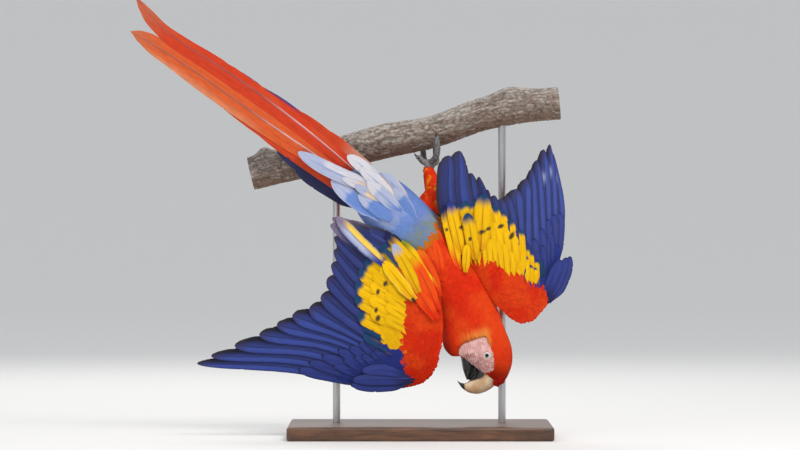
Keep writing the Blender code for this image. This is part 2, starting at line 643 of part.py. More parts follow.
def main():
    for old in list(bpy.data.objects):
        bpy.data.objects.remove(old, do_unlink=True)
    for name in (COLLECTION, CUTTERS):
        made = bpy.data.collections.new(name)
        bpy.context.scene.collection.children.link(made)

    red = material("red_plumage", (0.72, 0.05, 0.008), 0.75)
    lilac = material("pale_coverts", (0.55, 0.55, 0.68), 0.75)
    blue = material("blue_vanes", (0.03, 0.06, 0.28), 0.6)
    tail_red = material("red_vanes", (0.62, 0.1, 0.04), 0.6)
    face = material("head_plumage", (0.74, 0.08, 0.015), 0.75)
    pale_horn = material("pale_horn", (0.62, 0.5, 0.36), 0.4)
    dark_horn = material("dark_horn", (0.02, 0.018, 0.018), 0.45)
    eye = material("eye", (0.75, 0.72, 0.55), 0.1)
    scaly = material("foot_scales", (0.14, 0.13, 0.13), 0.7)
    bark = material("bark", (0.22, 0.18, 0.15), 0.9)
    wood = material("stand_wood", (0.12, 0.075, 0.05), 0.5)
    steel = material("stand_steel", (0.5, 0.5, 0.5), 0.35, 1.0)

    trunk = oval_loft("trunk", BODY, TRUNK_SPAN, red)
    neck = oval_loft("neck", BODY, NECK_SPAN, red)
    head = oval_loft("head", BODY, HEAD_SPAN, face)
    oval_loft("bill_upper", BILL_UPPER, (0, len(BILL_UPPER) - 1), pale_horn)
    oval_loft("bill_lower", BILL_LOWER, (0, len(BILL_LOWER) - 1), dark_horn)
    oval_loft("tongue", TONGUE, (0, len(TONGUE) - 1), dark_horn)
    build_eyes(head, eye)

    oval_loft("tail_coverts_upper", TAIL_COVERTS_UPPER, (0, len(TAIL_COVERTS_UPPER) - 1), lilac)
    oval_loft("tail_coverts_lower", TAIL_COVERTS_LOWER, (0, len(TAIL_COVERTS_LOWER) - 1), lilac)
    build_tail("left", TAIL_LEFT_TIPS, 1, tail_red)
    build_tail("right", TAIL_RIGHT_TIPS, -1, tail_red)

    right_arm = build_wing("right", WING_RIGHT, ALULA_RIGHT, (0, -1, 0), (red, blue))
    left_arm = build_wing("left", WING_LEFT, ALULA_LEFT, (0.3, -0.95, 0), (red, blue))
    for side in ("left", "right"):
        build_leg(side, trunk, (red, scaly, dark_horn))
    for arm in (right_arm, left_arm):
        cutter = grown_cutter(arm)
        combine(trunk, cutter)
        combine(neck, cutter)

    branch = build_branch(bark)
    build_stand(branch, wood, steel)


main()
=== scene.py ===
import bmesh
import bpy
import numpy as np
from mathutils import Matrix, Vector
from mathutils.kdtree import KDTree


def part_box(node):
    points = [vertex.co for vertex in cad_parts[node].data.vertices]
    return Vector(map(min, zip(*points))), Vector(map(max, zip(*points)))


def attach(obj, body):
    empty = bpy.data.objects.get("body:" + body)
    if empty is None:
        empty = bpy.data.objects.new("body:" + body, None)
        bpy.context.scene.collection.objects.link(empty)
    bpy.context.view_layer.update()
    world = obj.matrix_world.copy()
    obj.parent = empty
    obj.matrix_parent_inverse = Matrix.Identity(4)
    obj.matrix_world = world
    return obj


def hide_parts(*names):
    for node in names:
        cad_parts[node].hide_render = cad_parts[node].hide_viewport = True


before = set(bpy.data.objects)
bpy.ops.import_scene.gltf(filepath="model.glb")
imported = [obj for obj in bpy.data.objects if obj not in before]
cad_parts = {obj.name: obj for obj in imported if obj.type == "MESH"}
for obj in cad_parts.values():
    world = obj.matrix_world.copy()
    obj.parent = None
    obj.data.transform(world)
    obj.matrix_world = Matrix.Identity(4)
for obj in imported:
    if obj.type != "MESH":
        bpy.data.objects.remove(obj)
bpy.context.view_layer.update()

# Scarlet macaw hanging head down from a cut branch on a display stand.
# Tables are in millimetres, meshes in metres. Back towards -Y, tail up to -X, head down at +X.
mm = 0.001
chance = np.random.default_rng(11)
paintSamples = []          # feather roots and their colours, which the skin under them repeats
print("frame loaded")

bodyShape = {
    # left x, z, right x, z, centre y, half depth, from the tail's root to the bill's root
    "rows": ((-109, 374, -77, 427, -25, 17), (-90, 344, -32, 408, -20, 31), (-61, 306, 10, 372, -13, 42),
             (-32, 264, 50, 334, -6, 50), (0, 222, 86, 293, -4, 51), (26, 197, 110, 243, -8, 43),
             (34, 168, 125, 202, -14, 36), (38, 145, 136, 171, -18, 32), (48, 132, 145, 147, -20, 29),
             (56, 130, 147, 122, -20, 27.5), (61, 131, 140, 99, -20, 24), (65, 131, 128, 82, -20, 17)),
    "power": 2.2,
    "last": 11.0,
}

wingShape = {
    # feather number, then leading edge, edge of the coverts and feather tip
    "right": ((0, (29, -53, 238), (-40, -55, 313), (-108, -49, 341)),
              (1.5, (35, -50, 210), (-60, -55, 302), (-140, -51, 350)),
              (4, (38, -46, 172), (-93, -53, 268), (-135, -54, 310)),
              (6.5, (35, -44, 140), (-99, -50, 208), (-146, -53, 256)),
              (8, (27, -40, 110), (-86, -46, 164), (-164, -50, 217)),
              (9.5, (8, -34, 88), (-92, -43, 149), (-203, -45, 196)),
              (11.5, (-14, -31, 81), (-124, -39, 140), (-256, -37, 165)),
              (13.5, (-34, -29, 79), (-168, -33, 121), (-333, -24, 130)),
              (15, (-47, -28, 80), (-194, -28, 104), (-366, -12, 112))),
    "left": ((0, (97, -34, 248), (38, -48, 356), (37, -46, 444)),
             (1.5, (103, -34, 236), (58, -48, 368), (62, -46, 457)),
             (4, (119, -32, 212), (98, -44, 375), (100, -42, 406)),
             (6.5, (142, -25, 190), (131, -34, 358), (129, -29, 384)),
             (8, (160, -16, 180), (153, -22, 330), (144, -19, 390)),
             (9.5, (178, -6, 183), (170, -10, 308), (169, -5, 413)),
             (11.5, (196, 4, 200), (194, 6, 328), (187, 14, 443)),
             (13.5, (208, 11, 215), (214, 18, 352), (209, 36, 469)),
             (15, (221, 17, 240), (231, 27, 357), (217, 44, 444))),
    "thickness": ((0, 4, 8, 11.5, 15), (9, 16, 13, 8, 5)),
}


# Cubic Hermite curve through the rows, with slopes by central differences, straight past its ends.
def curveThrough(knots, rows, at):
    knots = np.asarray(knots, float)
    rows = np.asarray(rows, float)
    at = np.asarray(at, float)
    slope = np.gradient(rows, knots, axis=0)
    held = np.clip(at, knots[0], knots[-1])
    k = np.clip(np.searchsorted(knots, held, side="right") - 1, 0, len(knots) - 2)
    step = (knots[k + 1] - knots[k])[..., None]
    f = (held - knots[k])[..., None] / step
    near = (2 * f**3 - 3 * f**2 + 1) * rows[k] + (f**3 - 2 * f**2 + f) * step * slope[k]
    far = (3 * f**2 - 2 * f**3) * rows[k + 1] + (f**3 - f**2) * step * slope[k + 1]
    ends = np.where((at > knots[-1])[..., None], slope[-1], slope[0])
    return near + far + (at - held)[..., None] * ends


# Cheap smooth noise: values hashed at whole places, eased between them, 0 to 1.
def cloud(points, scale, seed):
    spot = np.asarray(points, float) * scale
    low = np.floor(spot)
    f = spot - low
    f = f * f * (3 - 2 * f)
    total = 0.0
    for corner in np.ndindex(2, 2, 2):
        key = (low + corner) @ np.array((127.1, 311.7, 74.7)) + seed * 17.3
        value = np.abs(np.sin(key) * 43758.5453) % 1
        total = total + value * np.prod(np.where(np.array(corner) == 1, f, 1 - f), axis=-1)
    return total


def unit(vectors):
    return vectors / np.maximum(np.linalg.norm(vectors, axis=-1, keepdims=True), 1e-9)


# 0 below low, 1 above high, and 3s^2 - 2s^3 between.
def ease(value, low, high):
    s = np.clip((value - low) / (high - low), 0, 1)
    return s * s * (3 - 2 * s)


# Superellipse section: middle + half span * sgn(cos)|cos|^(2/p), and depth * sgn(sin)|sin|^(2/p) in y.
def ovalPoint(rows, t, angle, power):
    row = curveThrough(np.arange(len(rows)), rows, t)
    side, depth = (np.sign(wave) * np.abs(wave) ** (2 / power) for wave in (np.cos(angle), np.sin(angle)))
    x, z = ((row[..., i] + row[..., i + 2]) / 2 + (row[..., i + 2] - row[..., i]) / 2 * side for i in (0, 1))
    return np.stack([x, row[..., 4] + row[..., 5] * depth, z], axis=-1)


def bodyPoint(t, angle):
    return ovalPoint(bodyShape["rows"], t, angle, bodyShape["power"])


def wingCurves(side, k):
    table = wingShape[side]
    knots = [row[0] for row in table]
    return [curveThrough(knots, [row[column] for row in table], k) for column in (1, 2, 3)]


# Out of the wing's upper side: across the span crossed with the feathers, leaning to the back.
def wingNormal(side, k):
    lead, _, tip = wingCurves(side, k)
    before = sum(wingCurves(side, np.maximum(k - 0.4, 0))[1:])
    after = sum(wingCurves(side, np.minimum(k + 0.4, 15))[1:])
    normal = unit(np.cross(tip - lead, after - before))
    return unit(normal * -np.sign(normal[..., 1:2]) + np.array((0, -1.2, 0)))


# Aerofoil from the leading edge (c = 0) to the covert edge (c = 1), then flat to the tips (c = 2).
# level 1 is the upper skin, -1 the lower one and 0 the sheet that the quills lie in.
def wingPoint(side, k, c, level):
    lead, edge, tip = wingCurves(side, k)
    normal = wingNormal(side, k)
    full = np.interp(k, *wingShape["thickness"])[..., None]
    on = np.clip(c, 0.0, 1.0)[..., None]
    past = np.maximum(c - 1, 0)[..., None]
    line = lead + (edge - lead) * on + (tip - edge) * past
    half = 1.45 * np.sqrt(on) * (1 - on) ** 0.9 * full / 2 + 0.8 * on
    camber = 0.9 * full * on * (1 - on)
    share = {1: 1.0, -1: -0.8, 0: 0.0}[level]
    return line + normal * (camber + half * share)


# Round section carried along a path: point(s) + radius(s) * (first * cos + second * sin).
def tubePoint(path, s, angle, grow=0.0):
    path = np.asarray(path, float)
    knots = np.arange(len(path))
    row = curveThrough(knots, path, s)
    along = unit(curveThrough(knots, path[:, :3], s + 0.02) - curveThrough(knots, path[:, :3], s - 0.02))
    first = unit(np.cross(along, np.array((0.31, 0.92, 0.22))))
    second = np.cross(along, first)
    ring = first * np.cos(angle)[..., None] + second * np.sin(angle)[..., None]
    return row[..., :3] + ring * (row[..., 3:4] + grow)


# Slopes of a surface at (a, b) by central differences, and its unit normal times flip.
def surfaceFrame(surface, a, b, flip):
    step = 1e-3
    alongA = (surface(a + step, b) - surface(a - step, b)) / (2 * step)
    alongB = (surface(a, b + step) - surface(a, b - step)) / (2 * step)
    return alongA, alongB, unit(np.cross(alongA, alongB)) * flip


# Even-odd test of points against an outline, and the distance to its nearest edge, positive inside.
def outlineDepth(outline, x, z):
    corners = np.asarray(outline, float)
    inside = np.zeros(np.shape(x), bool)
    nearest = np.full(np.shape(x), 1e9)
    for (ax, az), (bx, bz) in zip(corners, np.roll(corners, -1, axis=0)):
        crosses = (az > z) != (bz > z)
        inside ^= crosses & (x < (bx - ax) * (z - az) / (bz - az + 1e-12) + ax)
        s = np.clip(((x - ax) * (bx - ax) + (z - az) * (bz - az)) / ((bx - ax) ** 2 + (bz - az) ** 2), 0, 1)
        nearest = np.minimum(nearest, np.hypot(x - ax - s * (bx - ax), z - az - s * (bz - az)))
    return np.where(inside, nearest, -nearest)


# A closed outline rounded through its points.
def rounded(points, count=90):
    knots = np.arange(len(points) + 7) - 3
    rows = np.array(points, float)[knots % len(points)]
    return curveThrough(knots, rows, np.linspace(0, len(points), count + 1)[:-1])


# Distance run along a line of points.
def runAlong(line):
    return np.concatenate([[0], np.cumsum(np.linalg.norm(np.diff(line, axis=0), axis=1))])


# Places along a form and equal angles round it, as two grids.
def ringGrid(places, around):
    return np.meshgrid(places, np.linspace(0, 2 * np.pi, around + 1)[:-1], indexing="ij")


# Screen colour 0-255 to the linear colour that shaders take.
def ink(*colour):
    value = np.asarray(colour, float) / 255
    return np.where(value > 0.04045, ((value + 0.055) / 1.055) ** 2.4, value / 12.92)


colours = {name: ink(*tone) for name, tone in {
    "red": (224, 42, 4), "deepRed": (158, 16, 4), "orangeRed": (236, 76, 16), "headRed": (226, 62, 14),
    "apricot": (236, 146, 62), "yellow": (240, 188, 4), "paleYellow": (240, 204, 84), "gold": (230, 160, 6),
    "orange": (232, 112, 14), "rust": (150, 58, 14), "spot": (34, 36, 40), "teal": (30, 66, 104),
    "green": (132, 140, 34), "blue": (42, 56, 132), "brightBlue": (62, 84, 170), "navy": (28, 32, 78),
    "soot": (8, 8, 14), "brown": (52, 40, 44), "rump": (104, 134, 198), "lilac": (172, 180, 208),
    "cream": (226, 196, 166), "white": (208, 206, 214), "mauve": (132, 118, 142), "slate": (40, 42, 80),
    "skyBlue": (112, 156, 208), "tailRed": (204, 56, 22), "tailOrange": (212, 92, 40),
    "tailPink": (214, 138, 98), "underRed": (150, 52, 24), "underGold": (128, 92, 40),
    "face": (228, 184, 180), "faceDeep": (206, 142, 138), "faceLine": (160, 66, 56),
    "hornPale": (222, 196, 162), "hornTan": (196, 150, 102), "hornBlack": (24, 23, 24),
    "foot": (92, 90, 94), "footPale": (156, 153, 152), "iris": (214, 214, 200), "irisShade": (120, 120, 104),
    "pupil": (6, 6, 8), "eyeRim": (90, 76, 70), "bark": (128, 112, 102), "barkDark": (72, 59, 50),
    "barkBrown": (120, 88, 64), "lichen": (172, 168, 162), "wood": (196, 160, 116),
    "woodDark": (142, 104, 68),
}.items()}


# One colour at every point of a grid.
def toneOf(colour, shape):
    return np.broadcast_to(colours[colour], (*shape, 3))


# Lays colours over a tint in turn: tint * (1 - share) + colour * share, with a share for every point.
def wash(tint, *layers):
    for colour, share in layers:
        share = np.broadcast_to(share, tint.shape[:-1])[..., None]
        tint = tint * (1 - share) + (colours[colour] if isinstance(colour, str) else colour) * share
    return tint


def addObject(name, data):
    made = bpy.data.objects.new(name, data)
    bpy.context.scene.collection.objects.link(made)
    return made


# Writes the colour of each point, which the finishes read.
def setTint(mesh, tint):
    rgba = np.ones((len(mesh.vertices), 4), np.float32)
    rgba[:, :3] = np.clip(np.asarray(tint, float).reshape(-1, 3), 0, 1)
    mesh.attributes.new("tint", "FLOAT_COLOR", "POINT").data.foreach_set("color", rgba.ravel())


# Quads over points, with a colour per point, the vane map and the bake map per corner.
def makePiece(name, points, quads, material, tint=None, vaneUv=None, bakeUv=None, sharpAngle=50):
    mesh = bpy.data.meshes.new(name)
    points = np.ascontiguousarray(np.asarray(points, float).reshape(-1, 3) * mm, np.float32)
    quads = np.ascontiguousarray(quads, np.int32).reshape(-1, 4)
    mesh.vertices.add(len(points))
    mesh.vertices.foreach_set("co", points.ravel())
    mesh.loops.add(quads.size)
    mesh.loops.foreach_set("vertex_index", quads.ravel())
    mesh.polygons.add(len(quads))
    mesh.polygons.foreach_set("loop_start", np.arange(0, quads.size, 4, dtype=np.int32))
    mesh.update(calc_edges=True)
    for label, uv in (("vane", vaneUv), ("OFBake", bakeUv)):
        if uv is not None:
            layer = mesh.uv_layers.new(name=label)
            layer.uv.foreach_set("vector", np.asarray(uv, np.float32).reshape(-1, 2)[quads.ravel()].ravel())
    if tint is not None:
        setTint(mesh, tint)
    mesh.shade_smooth()
    mesh.set_sharp_from_angle(angle=np.radians(sharpAngle))
    mesh.materials.append(material)
    return addObject(name, mesh)


def finishPiece(piece, slot, *replaced):
    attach(piece, "root")
    if replaced:
        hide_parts(*replaced)


# Corner numbers of a grid of rows x columns, closed round the columns or not.
def gridQuads(rows, columns, closed=False):
    row, column = np.meshgrid(np.arange(rows - 1), np.arange(columns if closed else columns - 1),
                              indexing="ij")
    after = (column + 1) % columns
    return np.stack([row * columns + column, row * columns + after, (row + 1) * columns + after,
                     (row + 1) * columns + column], axis=-1).reshape(-1, 4)


# A lens of rows x columns: an upper grid, and a lower one that shares its rim.
def lensTemplate(rows, columns):
    upper = np.arange(rows * columns).reshape(rows, columns)
    lower = upper.copy()
    lower[1:-1, 1:-1] = rows * columns + np.arange((rows - 2) * (columns - 2)).reshape(rows - 2, columns - 2)
    top = upper.ravel()[gridQuads(rows, columns)]
    under = lower.ravel()[gridQuads(rows, columns)][:, ::-1]
    return np.concatenate([top, under])


# Joins copies of one lens: upper points (count, rows, columns, 3), lower points of the inner grid.
def joinLenses(upper, lower, upperTint, lowerTint, vaneUv, bakeUv):
    count, rows, columns = upper.shape[:3]
    flat = [np.concatenate([whole.reshape(count, rows * columns, -1),
                            part[:, 1:-1, 1:-1].reshape(count, (rows - 2) * (columns - 2), -1)], axis=1)
            for whole, part in ((upper, lower), (upperTint, lowerTint), (vaneUv, vaneUv), (bakeUv, bakeUv))]
    template = lensTemplate(rows, columns)
    quads = template[None] + (np.arange(count) * flat[0].shape[1])[:, None, None]
    return [*flat, quads]


# Changes of a and b that carry a point of a surface one unit along a vector in it.
def stepsAlong(alongA, alongB, vector):
    pairs = ((alongA, alongA), (alongA, alongB), (alongB, alongB), (alongA, vector), (alongB, vector))
    aa, ab, bb, da, db = (np.sum(p * q, axis=-1) for p, q in pairs)
    det = aa * bb - ab * ab
    return (bb * da - ab * db) / det, (aa * db - ab * da) / det


coatMake = {"sizeSpread": (0.88, 1.12), "rowEasing": 1.6, "footShade": 0.85, "underShade": 0.8,
            "patch": 0.003}
wholeMap = (0.02, 0.02, 0.96, 0.96)


# Every vane is a strip of the surface itself. Its point at (u, v) lies length * v along the flow and
# width * outline(v) * u across it, and is raised by low + (high - low) * v, with a crown over the shaft.
def growCoat(name, surface, flip, rootA, rootB, flow, sizes, paint, look, material, slot, island=wholeMap):
    rows, columns, count = look["rows"], look["columns"], len(rootA)
    alongA, alongB, normal = surfaceFrame(surface, rootA, rootB, flip)
    flow = unit(flow - normal * np.sum(flow * normal, axis=-1, keepdims=True))
    swing = chance.normal(0, look["swing"], count)[:, None]
    flow = unit(flow + np.cross(flow, normal) * swing)
    across = unit(np.cross(flow, normal))
    length, width = (size * chance.uniform(*coatMake["sizeSpread"], count) for size in sizes)
    v = 1 - (1 - np.linspace(0, 1, rows)) ** coatMake["rowEasing"]
    u = np.linspace(-1, 1, columns)
    half = np.interp(v, *look["outline"])
    ragged = chance.uniform(-1, 1, (count, rows, columns)) * look["ragged"] * v[None, :, None] ** 2
    bent = ((1 - (u[None] * half[:, None]) ** 2 * look["tipArc"]) * v[:, None])[None] + ragged
    reach = length[:, None, None] * bent
    spread = width[:, None, None] / 2 * half[None, :, None] * u[None, None, :]
    flowA, flowB = stepsAlong(alongA, alongB, flow)
    acrossA, acrossB = stepsAlong(alongA, alongB, across)
    a = rootA[:, None, None] + flowA[:, None, None] * reach + acrossA[:, None, None] * spread
    b = rootB[:, None, None] + flowB[:, None, None] * reach + acrossB[:, None, None] * spread
    low, high = look["heights"]
    loose = chance.normal(0, look["loose"], count)[:, None, None]
    lift = low + (high - low + loose) * v[None, :, None]
    dome = np.sin(np.pi * np.clip(v, 0.05, 0.95))[None, :, None]
    lift = lift + look["crown"] * (1 - u**2)[None, None, :] * dome
    up = surfaceFrame(surface, a, b, flip)[2]
    upper = surface(a, b) + up * lift[..., None]
    lower = upper - up * look["thickness"]
    near, far = (surface(rootA + flowA * length * share, rootB + flowB * length * share)
                 for share in look["tintAt"])
    baseTint, tipTint = paint(near, rootA, rootB)[0], paint(far, rootA, rootB)[1]
    mix = ease(v, look["tipFrom"], 1.0)[None, :, None, None]
    tint = baseTint[:, None, None] * (1 - mix) + tipTint[:, None, None] * mix
    tint = tint * (1 + chance.normal(0, look["varied"], count))[:, None, None, None]
    dim = coatMake["footShade"] + 0.15 * ease(v, 0.0, 0.4)
    tint = np.broadcast_to(tint, upper.shape) * dim[None, :, None, None]
    tint = spotted(upper, tint) if look.get("spotted") else tint
    vaneUv = np.stack(np.broadcast_arrays(u[None, None] / 2 + 0.5, reach / 10), axis=-1)
    left, bottom, wide, tall = island
    place = np.stack([left + wide * normalised(rootB), bottom + tall * normalised(rootA)], axis=-1)
    patch = np.stack(np.broadcast_arrays(u[None, :] / 2, v[:, None] - 0.5), axis=-1) * coatMake["patch"]
    bakeUv = place[:, None, None] + patch[None]
    darker = tint * coatMake["underShade"]
    points, tints, vanes, bakes, quads = joinLenses(upper, lower, tint, darker, vaneUv, bakeUv)
    paintSamples.append((surface(rootA, rootB), baseTint))
    print("coat", name, count, "vanes,", quads.size // 2, "triangles")
    finishPiece(makePiece(name, points, quads, material, tints, vanes, bakes), slot)


# Dark spots on the yellow of the wings: place, half width, half height and lean in degrees.
spots = ((-55, 246, 3.4, 5.4, 30), (-67, 233, 3.0, 5.2, 10), (-11, 220, 3.4, 4.8, -40),
         (-70, 204, 3.0, 4.4, 10), (-67, 191, 4.0, 5.6, 20), (42, 332, 2.8, 2.6, 0), (65, 335, 3.6, 3.2, 20),
         (79, 317, 3.0, 3.6, 0), (98, 328, 3.4, 6.0, 70), (108, 333, 3.2, 5.0, 75), (128, 337, 3.4, 5.6, 60),
         (146, 322, 3.6, 7.0, 30))


def spotted(points, tint):
    away = np.full(points.shape[:-1], 9.0)
    for x, z, wide, high, lean in spots:
        turn = np.radians(lean)
        dx, dz = points[..., 0] - x, points[..., 2] - z
        across = (dx * np.cos(turn) - dz * np.sin(turn)) / wide
        along = (dx * np.sin(turn) + dz * np.cos(turn)) / high
        away = np.minimum(away, np.where(points[..., 1] < 5, np.hypot(across, along), 9.0))
    return wash(tint, ("spot", ease(1.15 - away, 0, 0.4) * 0.92))


def normalised(values):
    low, high = values.min(), values.max()
    return (values - low) / max(high - low, 1e-6)


# A quill is a shaft with two vanes: axis(v) + side * width(v) * u, half round over the shaft, bowed by
# curl * u^2 towards its rims and tilted so that its outer rim passes over the next quill's inner one.
quillLook = {
    "rows": 44, "columns": (-1, -0.86, -0.62, -0.36, -0.14, -0.06, 0, 0.06, 0.14, 0.36, 0.62, 0.86, 1),
    "thickness": 0.35, "splits": 0.05, "splitDepth": 0.14, "frayed": 0.02, "frayedTip": 0.16,
}


# hand is 1 where the inner vane (u > 0) lies along cross(shaft, up), and -1 on the mirror side.
def growQuills(name, axis, up, widths, shaft, curl, tilt, topTint, underTint, material, slot, replaced=(),
               hand=1):
    count, rows = axis.shape[:2]
    u = np.array(quillLook["columns"])
    along = unit(np.gradient(axis, axis=1))
    side = unit(np.cross(along, up)) * hand
    up = unit(np.cross(side, along)) * hand
    outer, inner = widths
    width = np.where(u < 0, outer[..., None], inner[..., None])
    torn = quillLook["frayed"] + quillLook["frayedTip"] * ease(np.linspace(0, 1, rows), 0.8, 1.0)
    cut = chance.uniform(0, 1, (count, rows, 2)) * torn[None, :, None]
    split = chance.random((count, rows, 2)) < quillLook["splits"]
    cut = cut + split * quillLook["splitDepth"] * chance.random((count, rows, 2))
    rim = np.where(u < 0, cut[..., 0:1], cut[..., 1:2]) * np.abs(u) ** 3
    offset = u * (1 - rim) * width
    radius = shaft[..., None]
    ridge = np.sqrt(np.clip(radius**2 - offset**2, 0, None)) * 0.9
    sag = -curl * (offset / 10) ** 2 - tilt * offset
    reach = np.cumsum(np.linalg.norm(np.diff(axis, axis=1, prepend=axis[:, :1]), axis=-1), axis=1)
    base = axis[:, :, None] + side[:, :, None] * offset[..., None]
    upper = base + up[:, :, None] * (sag + ridge)[..., None]
    lower = base + up[:, :, None] * (sag - quillLook["thickness"] - ridge * 0.6)[..., None]
    vaneUv = np.stack(np.broadcast_arrays(u[None, None] / 2 + 0.5, reach[..., None] / 10), axis=-1)
    strip = (np.arange(count)[:, None, None] + 0.5 + 0.44 * u[None, None]) / count
    bakeUv = np.stack(np.broadcast_arrays(strip, 0.02 + 0.96 * np.linspace(0, 1, rows)[None, :, None]),
                      axis=-1)
    points, tints, vanes, bakes, quads = joinLenses(upper, lower, topTint, underTint, vaneUv, bakeUv)
    print("quills", name, count, "of", quads.size // 2, "triangles")
    finishPiece(makePiece(name, points, quads[..., ::hand], material, tints, vanes, bakes, 60), slot,
                *replaced)


# Width along a vane: rises from its foot, stays full, and closes as an ellipse from where the tip starts.
def vaneProfile(v, foot, full, tipStart, sharpness):
    rise = foot + (1 - foot) * ease(v, 0, full)
    past = np.clip((v - tipStart) / (1 - tipStart), 0, 1)
    return rise * np.maximum((1 - past**sharpness) ** 0.5, 0.02)


def addNode(tree, kind, values=None, **options):
    made = tree.nodes.new("ShaderNode" + kind)
    for key, value in options.items():
        setattr(made, key, value)
    for key, value in (values or {}).items():
        if isinstance(value, bpy.types.NodeSocket):
            tree.links.new(value, made.inputs[key])
        else:
            made.inputs[key].default_value = value
    return made


def maths(tree, operation, *values):
    return addNode(tree, "Math", dict(enumerate(values)), operation=operation).outputs[0]


def noiseOver(tree, place, scale, detail, **more):
    return addNode(tree, "TexNoise", {"Vector": place, "Scale": scale, "Detail": detail, **more}).outputs[0]


# Object coordinates, stretched along the axes.
def objectPlace(tree, stretch):
    spot = addNode(tree, "TexCoord").outputs["Object"]
    return addNode(tree, "Mapping", {"Vector": spot, "Scale": stretch}).outputs[0]


def mottled(tree, noise, mottle):
    return addNode(tree, "MapRange", {0: noise, 1: 0.3, 2: 0.7, 3: 1.0 - mottle, 4: 1.0 + mottle}).outputs[0]


def startMaterial(name, roughness, **sockets):
    made = bpy.data.materials.new(name)
    made.use_nodes = True
    shader = made.node_tree.nodes["Principled BSDF"]
    shader.inputs["Roughness"].default_value = roughness
    for key, value in sockets.items():
        shader.inputs[key.replace("_", " ")].default_value = value
    return made, made.node_tree, shader


def addBump(tree, shader, strength, depth, height):
    bump = addNode(tree, "Bump", {"Strength": strength, "Distance": depth, "Height": height}).outputs[0]
    tree.links.new(bump, shader.inputs["Normal"])


# Base colour: a tint, or else the tint attribute of each point, multiplied by a grey grain.
def addGrain(tree, shader, grain, tint=None):
    if tint is None:
        tint = addNode(tree, "Attribute", attribute_name="tint").outputs["Color"]
    grey = addNode(tree, "CombineXYZ", {0: grain, 1: grain, 2: grain}).outputs[0]
    mixed = addNode(tree, "Mix", {0: 1.0, 6: tint, 7: grey}, data_type="RGBA",
                    blend_type="MULTIPLY").outputs[2]
    tree.links.new(mixed, shader.inputs["Base Color"])


# Feathers: the tint along each vane, crossed by slanting barbs, with a fine mottling and a soft gloss.
def featherMaterial(name, roughness, barbDepth, mottle, gloss):
    made, tree, shader = startMaterial(name, roughness, Specular_IOR_Level=gloss)
    place = addNode(tree, "SeparateXYZ", {0: addNode(tree, "UVMap", uv_map="vane").outputs[0]})
    across = maths(tree, "SUBTRACT", place.outputs[0], 0.5)
    slant = maths(tree, "MULTIPLY_ADD", maths(tree, "ABSOLUTE", across), -1.6, place.outputs[1])
    barbs = maths(tree, "SINE", maths(tree, "MULTIPLY", slant, 52.0))
    low = addNode(tree, "MapRange", {0: barbs, 1: -1.0, 2: 1.0, 3: 1.0 - barbDepth, 4: 1.0}).outputs[0]
    fine, along = maths(tree, "MULTIPLY", across, 9.0), maths(tree, "MULTIPLY", slant, 0.5)
    streaks = noiseOver(tree, addNode(tree, "CombineXYZ", {0: fine, 1: along}).outputs[0], 1.0, 3.0)
    addGrain(tree, shader, maths(tree, "MULTIPLY", low, mottled(tree, streaks, mottle)))
    addBump(tree, shader, 0.35, 0.0003, barbs)
    return made


# Skin, scales and horn: a tint, mottled, with a cellular or layered bump on object coordinates.
def tintedMaterial(name, roughness, scale, mottle, bumpDepth, stretch=(1, 1, 1), cells=False, **sockets):
    made, tree, shader = startMaterial(name, roughness, **sockets)
    spot = objectPlace(tree, stretch)
    noise = height = noiseOver(tree, spot, scale, 5.0)
    if cells:
        height = addNode(tree, "TexVoronoi", {"Vector": spot, "Scale": scale},
                         feature="DISTANCE_TO_EDGE").outputs[0]
        height = addNode(tree, "MapRange", {0: height, 1: 0.0, 2: 0.12}).outputs[0]
    addGrain(tree, shader, mottled(tree, noise, mottle))
    addBump(tree, shader, 0.5, bumpDepth, height)
    return made


materials = {
    "contour": featherMaterial("contour_feathers", 0.72, 0.05, 0.12, 0.14),
    "flight": featherMaterial("flight_feathers", 0.5, 0.14, 0.14, 0.26),
    "tail": featherMaterial("tail_feathers", 0.55, 0.09, 0.12, 0.22),
    "skin": tintedMaterial("skin", 0.55, 420.0, 0.10, 0.0004, cells=True, Specular_IOR_Level=0.4),
    "scales": tintedMaterial("foot_scales", 0.6, 900.0, 0.2, 0.0003),
    "hornPale": tintedMaterial("pale_horn", 0.34, 160.0, 0.12, 0.0003, stretch=(1, 1, 3.5)),
    "hornDark": tintedMaterial("dark_horn", 0.32, 220.0, 0.3, 0.0003, stretch=(1, 1, 3)),
    "eye": tintedMaterial("eye", 0.14, 900.0, 0.06, 0.00005, Specular_IOR_Level=0.25, Coat_Weight=0.25,
                          Coat_Roughness=0.02),
}

faceOutline = rounded(((61.5, 132), (65, 147), (83, 155.5), (101, 161), (109.5, 156), (115.5, 141),
                       (118.3, 122), (116.8, 107.5), (110.5, 102.5), (101, 103), (88, 111), (74, 122)))

bodyCoat = {
    # along the body, 0 at the tail: feather length, width, step between rows, gap round a row
    "knots": (0, 2.5, 4, 5.4, 7.2, 9, 10.4, 11), "length": (30, 28, 24, 20, 14, 10, 7, 5),
    "width": (14, 13, 11, 9, 5.5, 3.6, 2.8, 2.2), "step": (6.5, 6, 5.2, 4.6, 3.8, 2.8, 2.1, 1.7),
    "gap": (6.5, 6, 5.4, 4.6, 3.4, 2.4, 2.0, 1.7),
    "skinDepth": 2.6, "headDepth": 1.5,
}
trunkVane = {
    "rows": 5, "columns": 5, "outline": ((0, 0.3, 0.6, 0.78, 0.9, 1), (0.4, 0.9, 1, 0.94, 0.72, 0.15)),
    "tipArc": 0.12, "ragged": 0.012, "swing": 0.05, "heights": (-0.8, 0.3), "loose": 0.04, "crown": 0.2,
    "thickness": 0.16, "tipFrom": 0.3, "varied": 0.025, "tintAt": (0.5, 0.9),
}
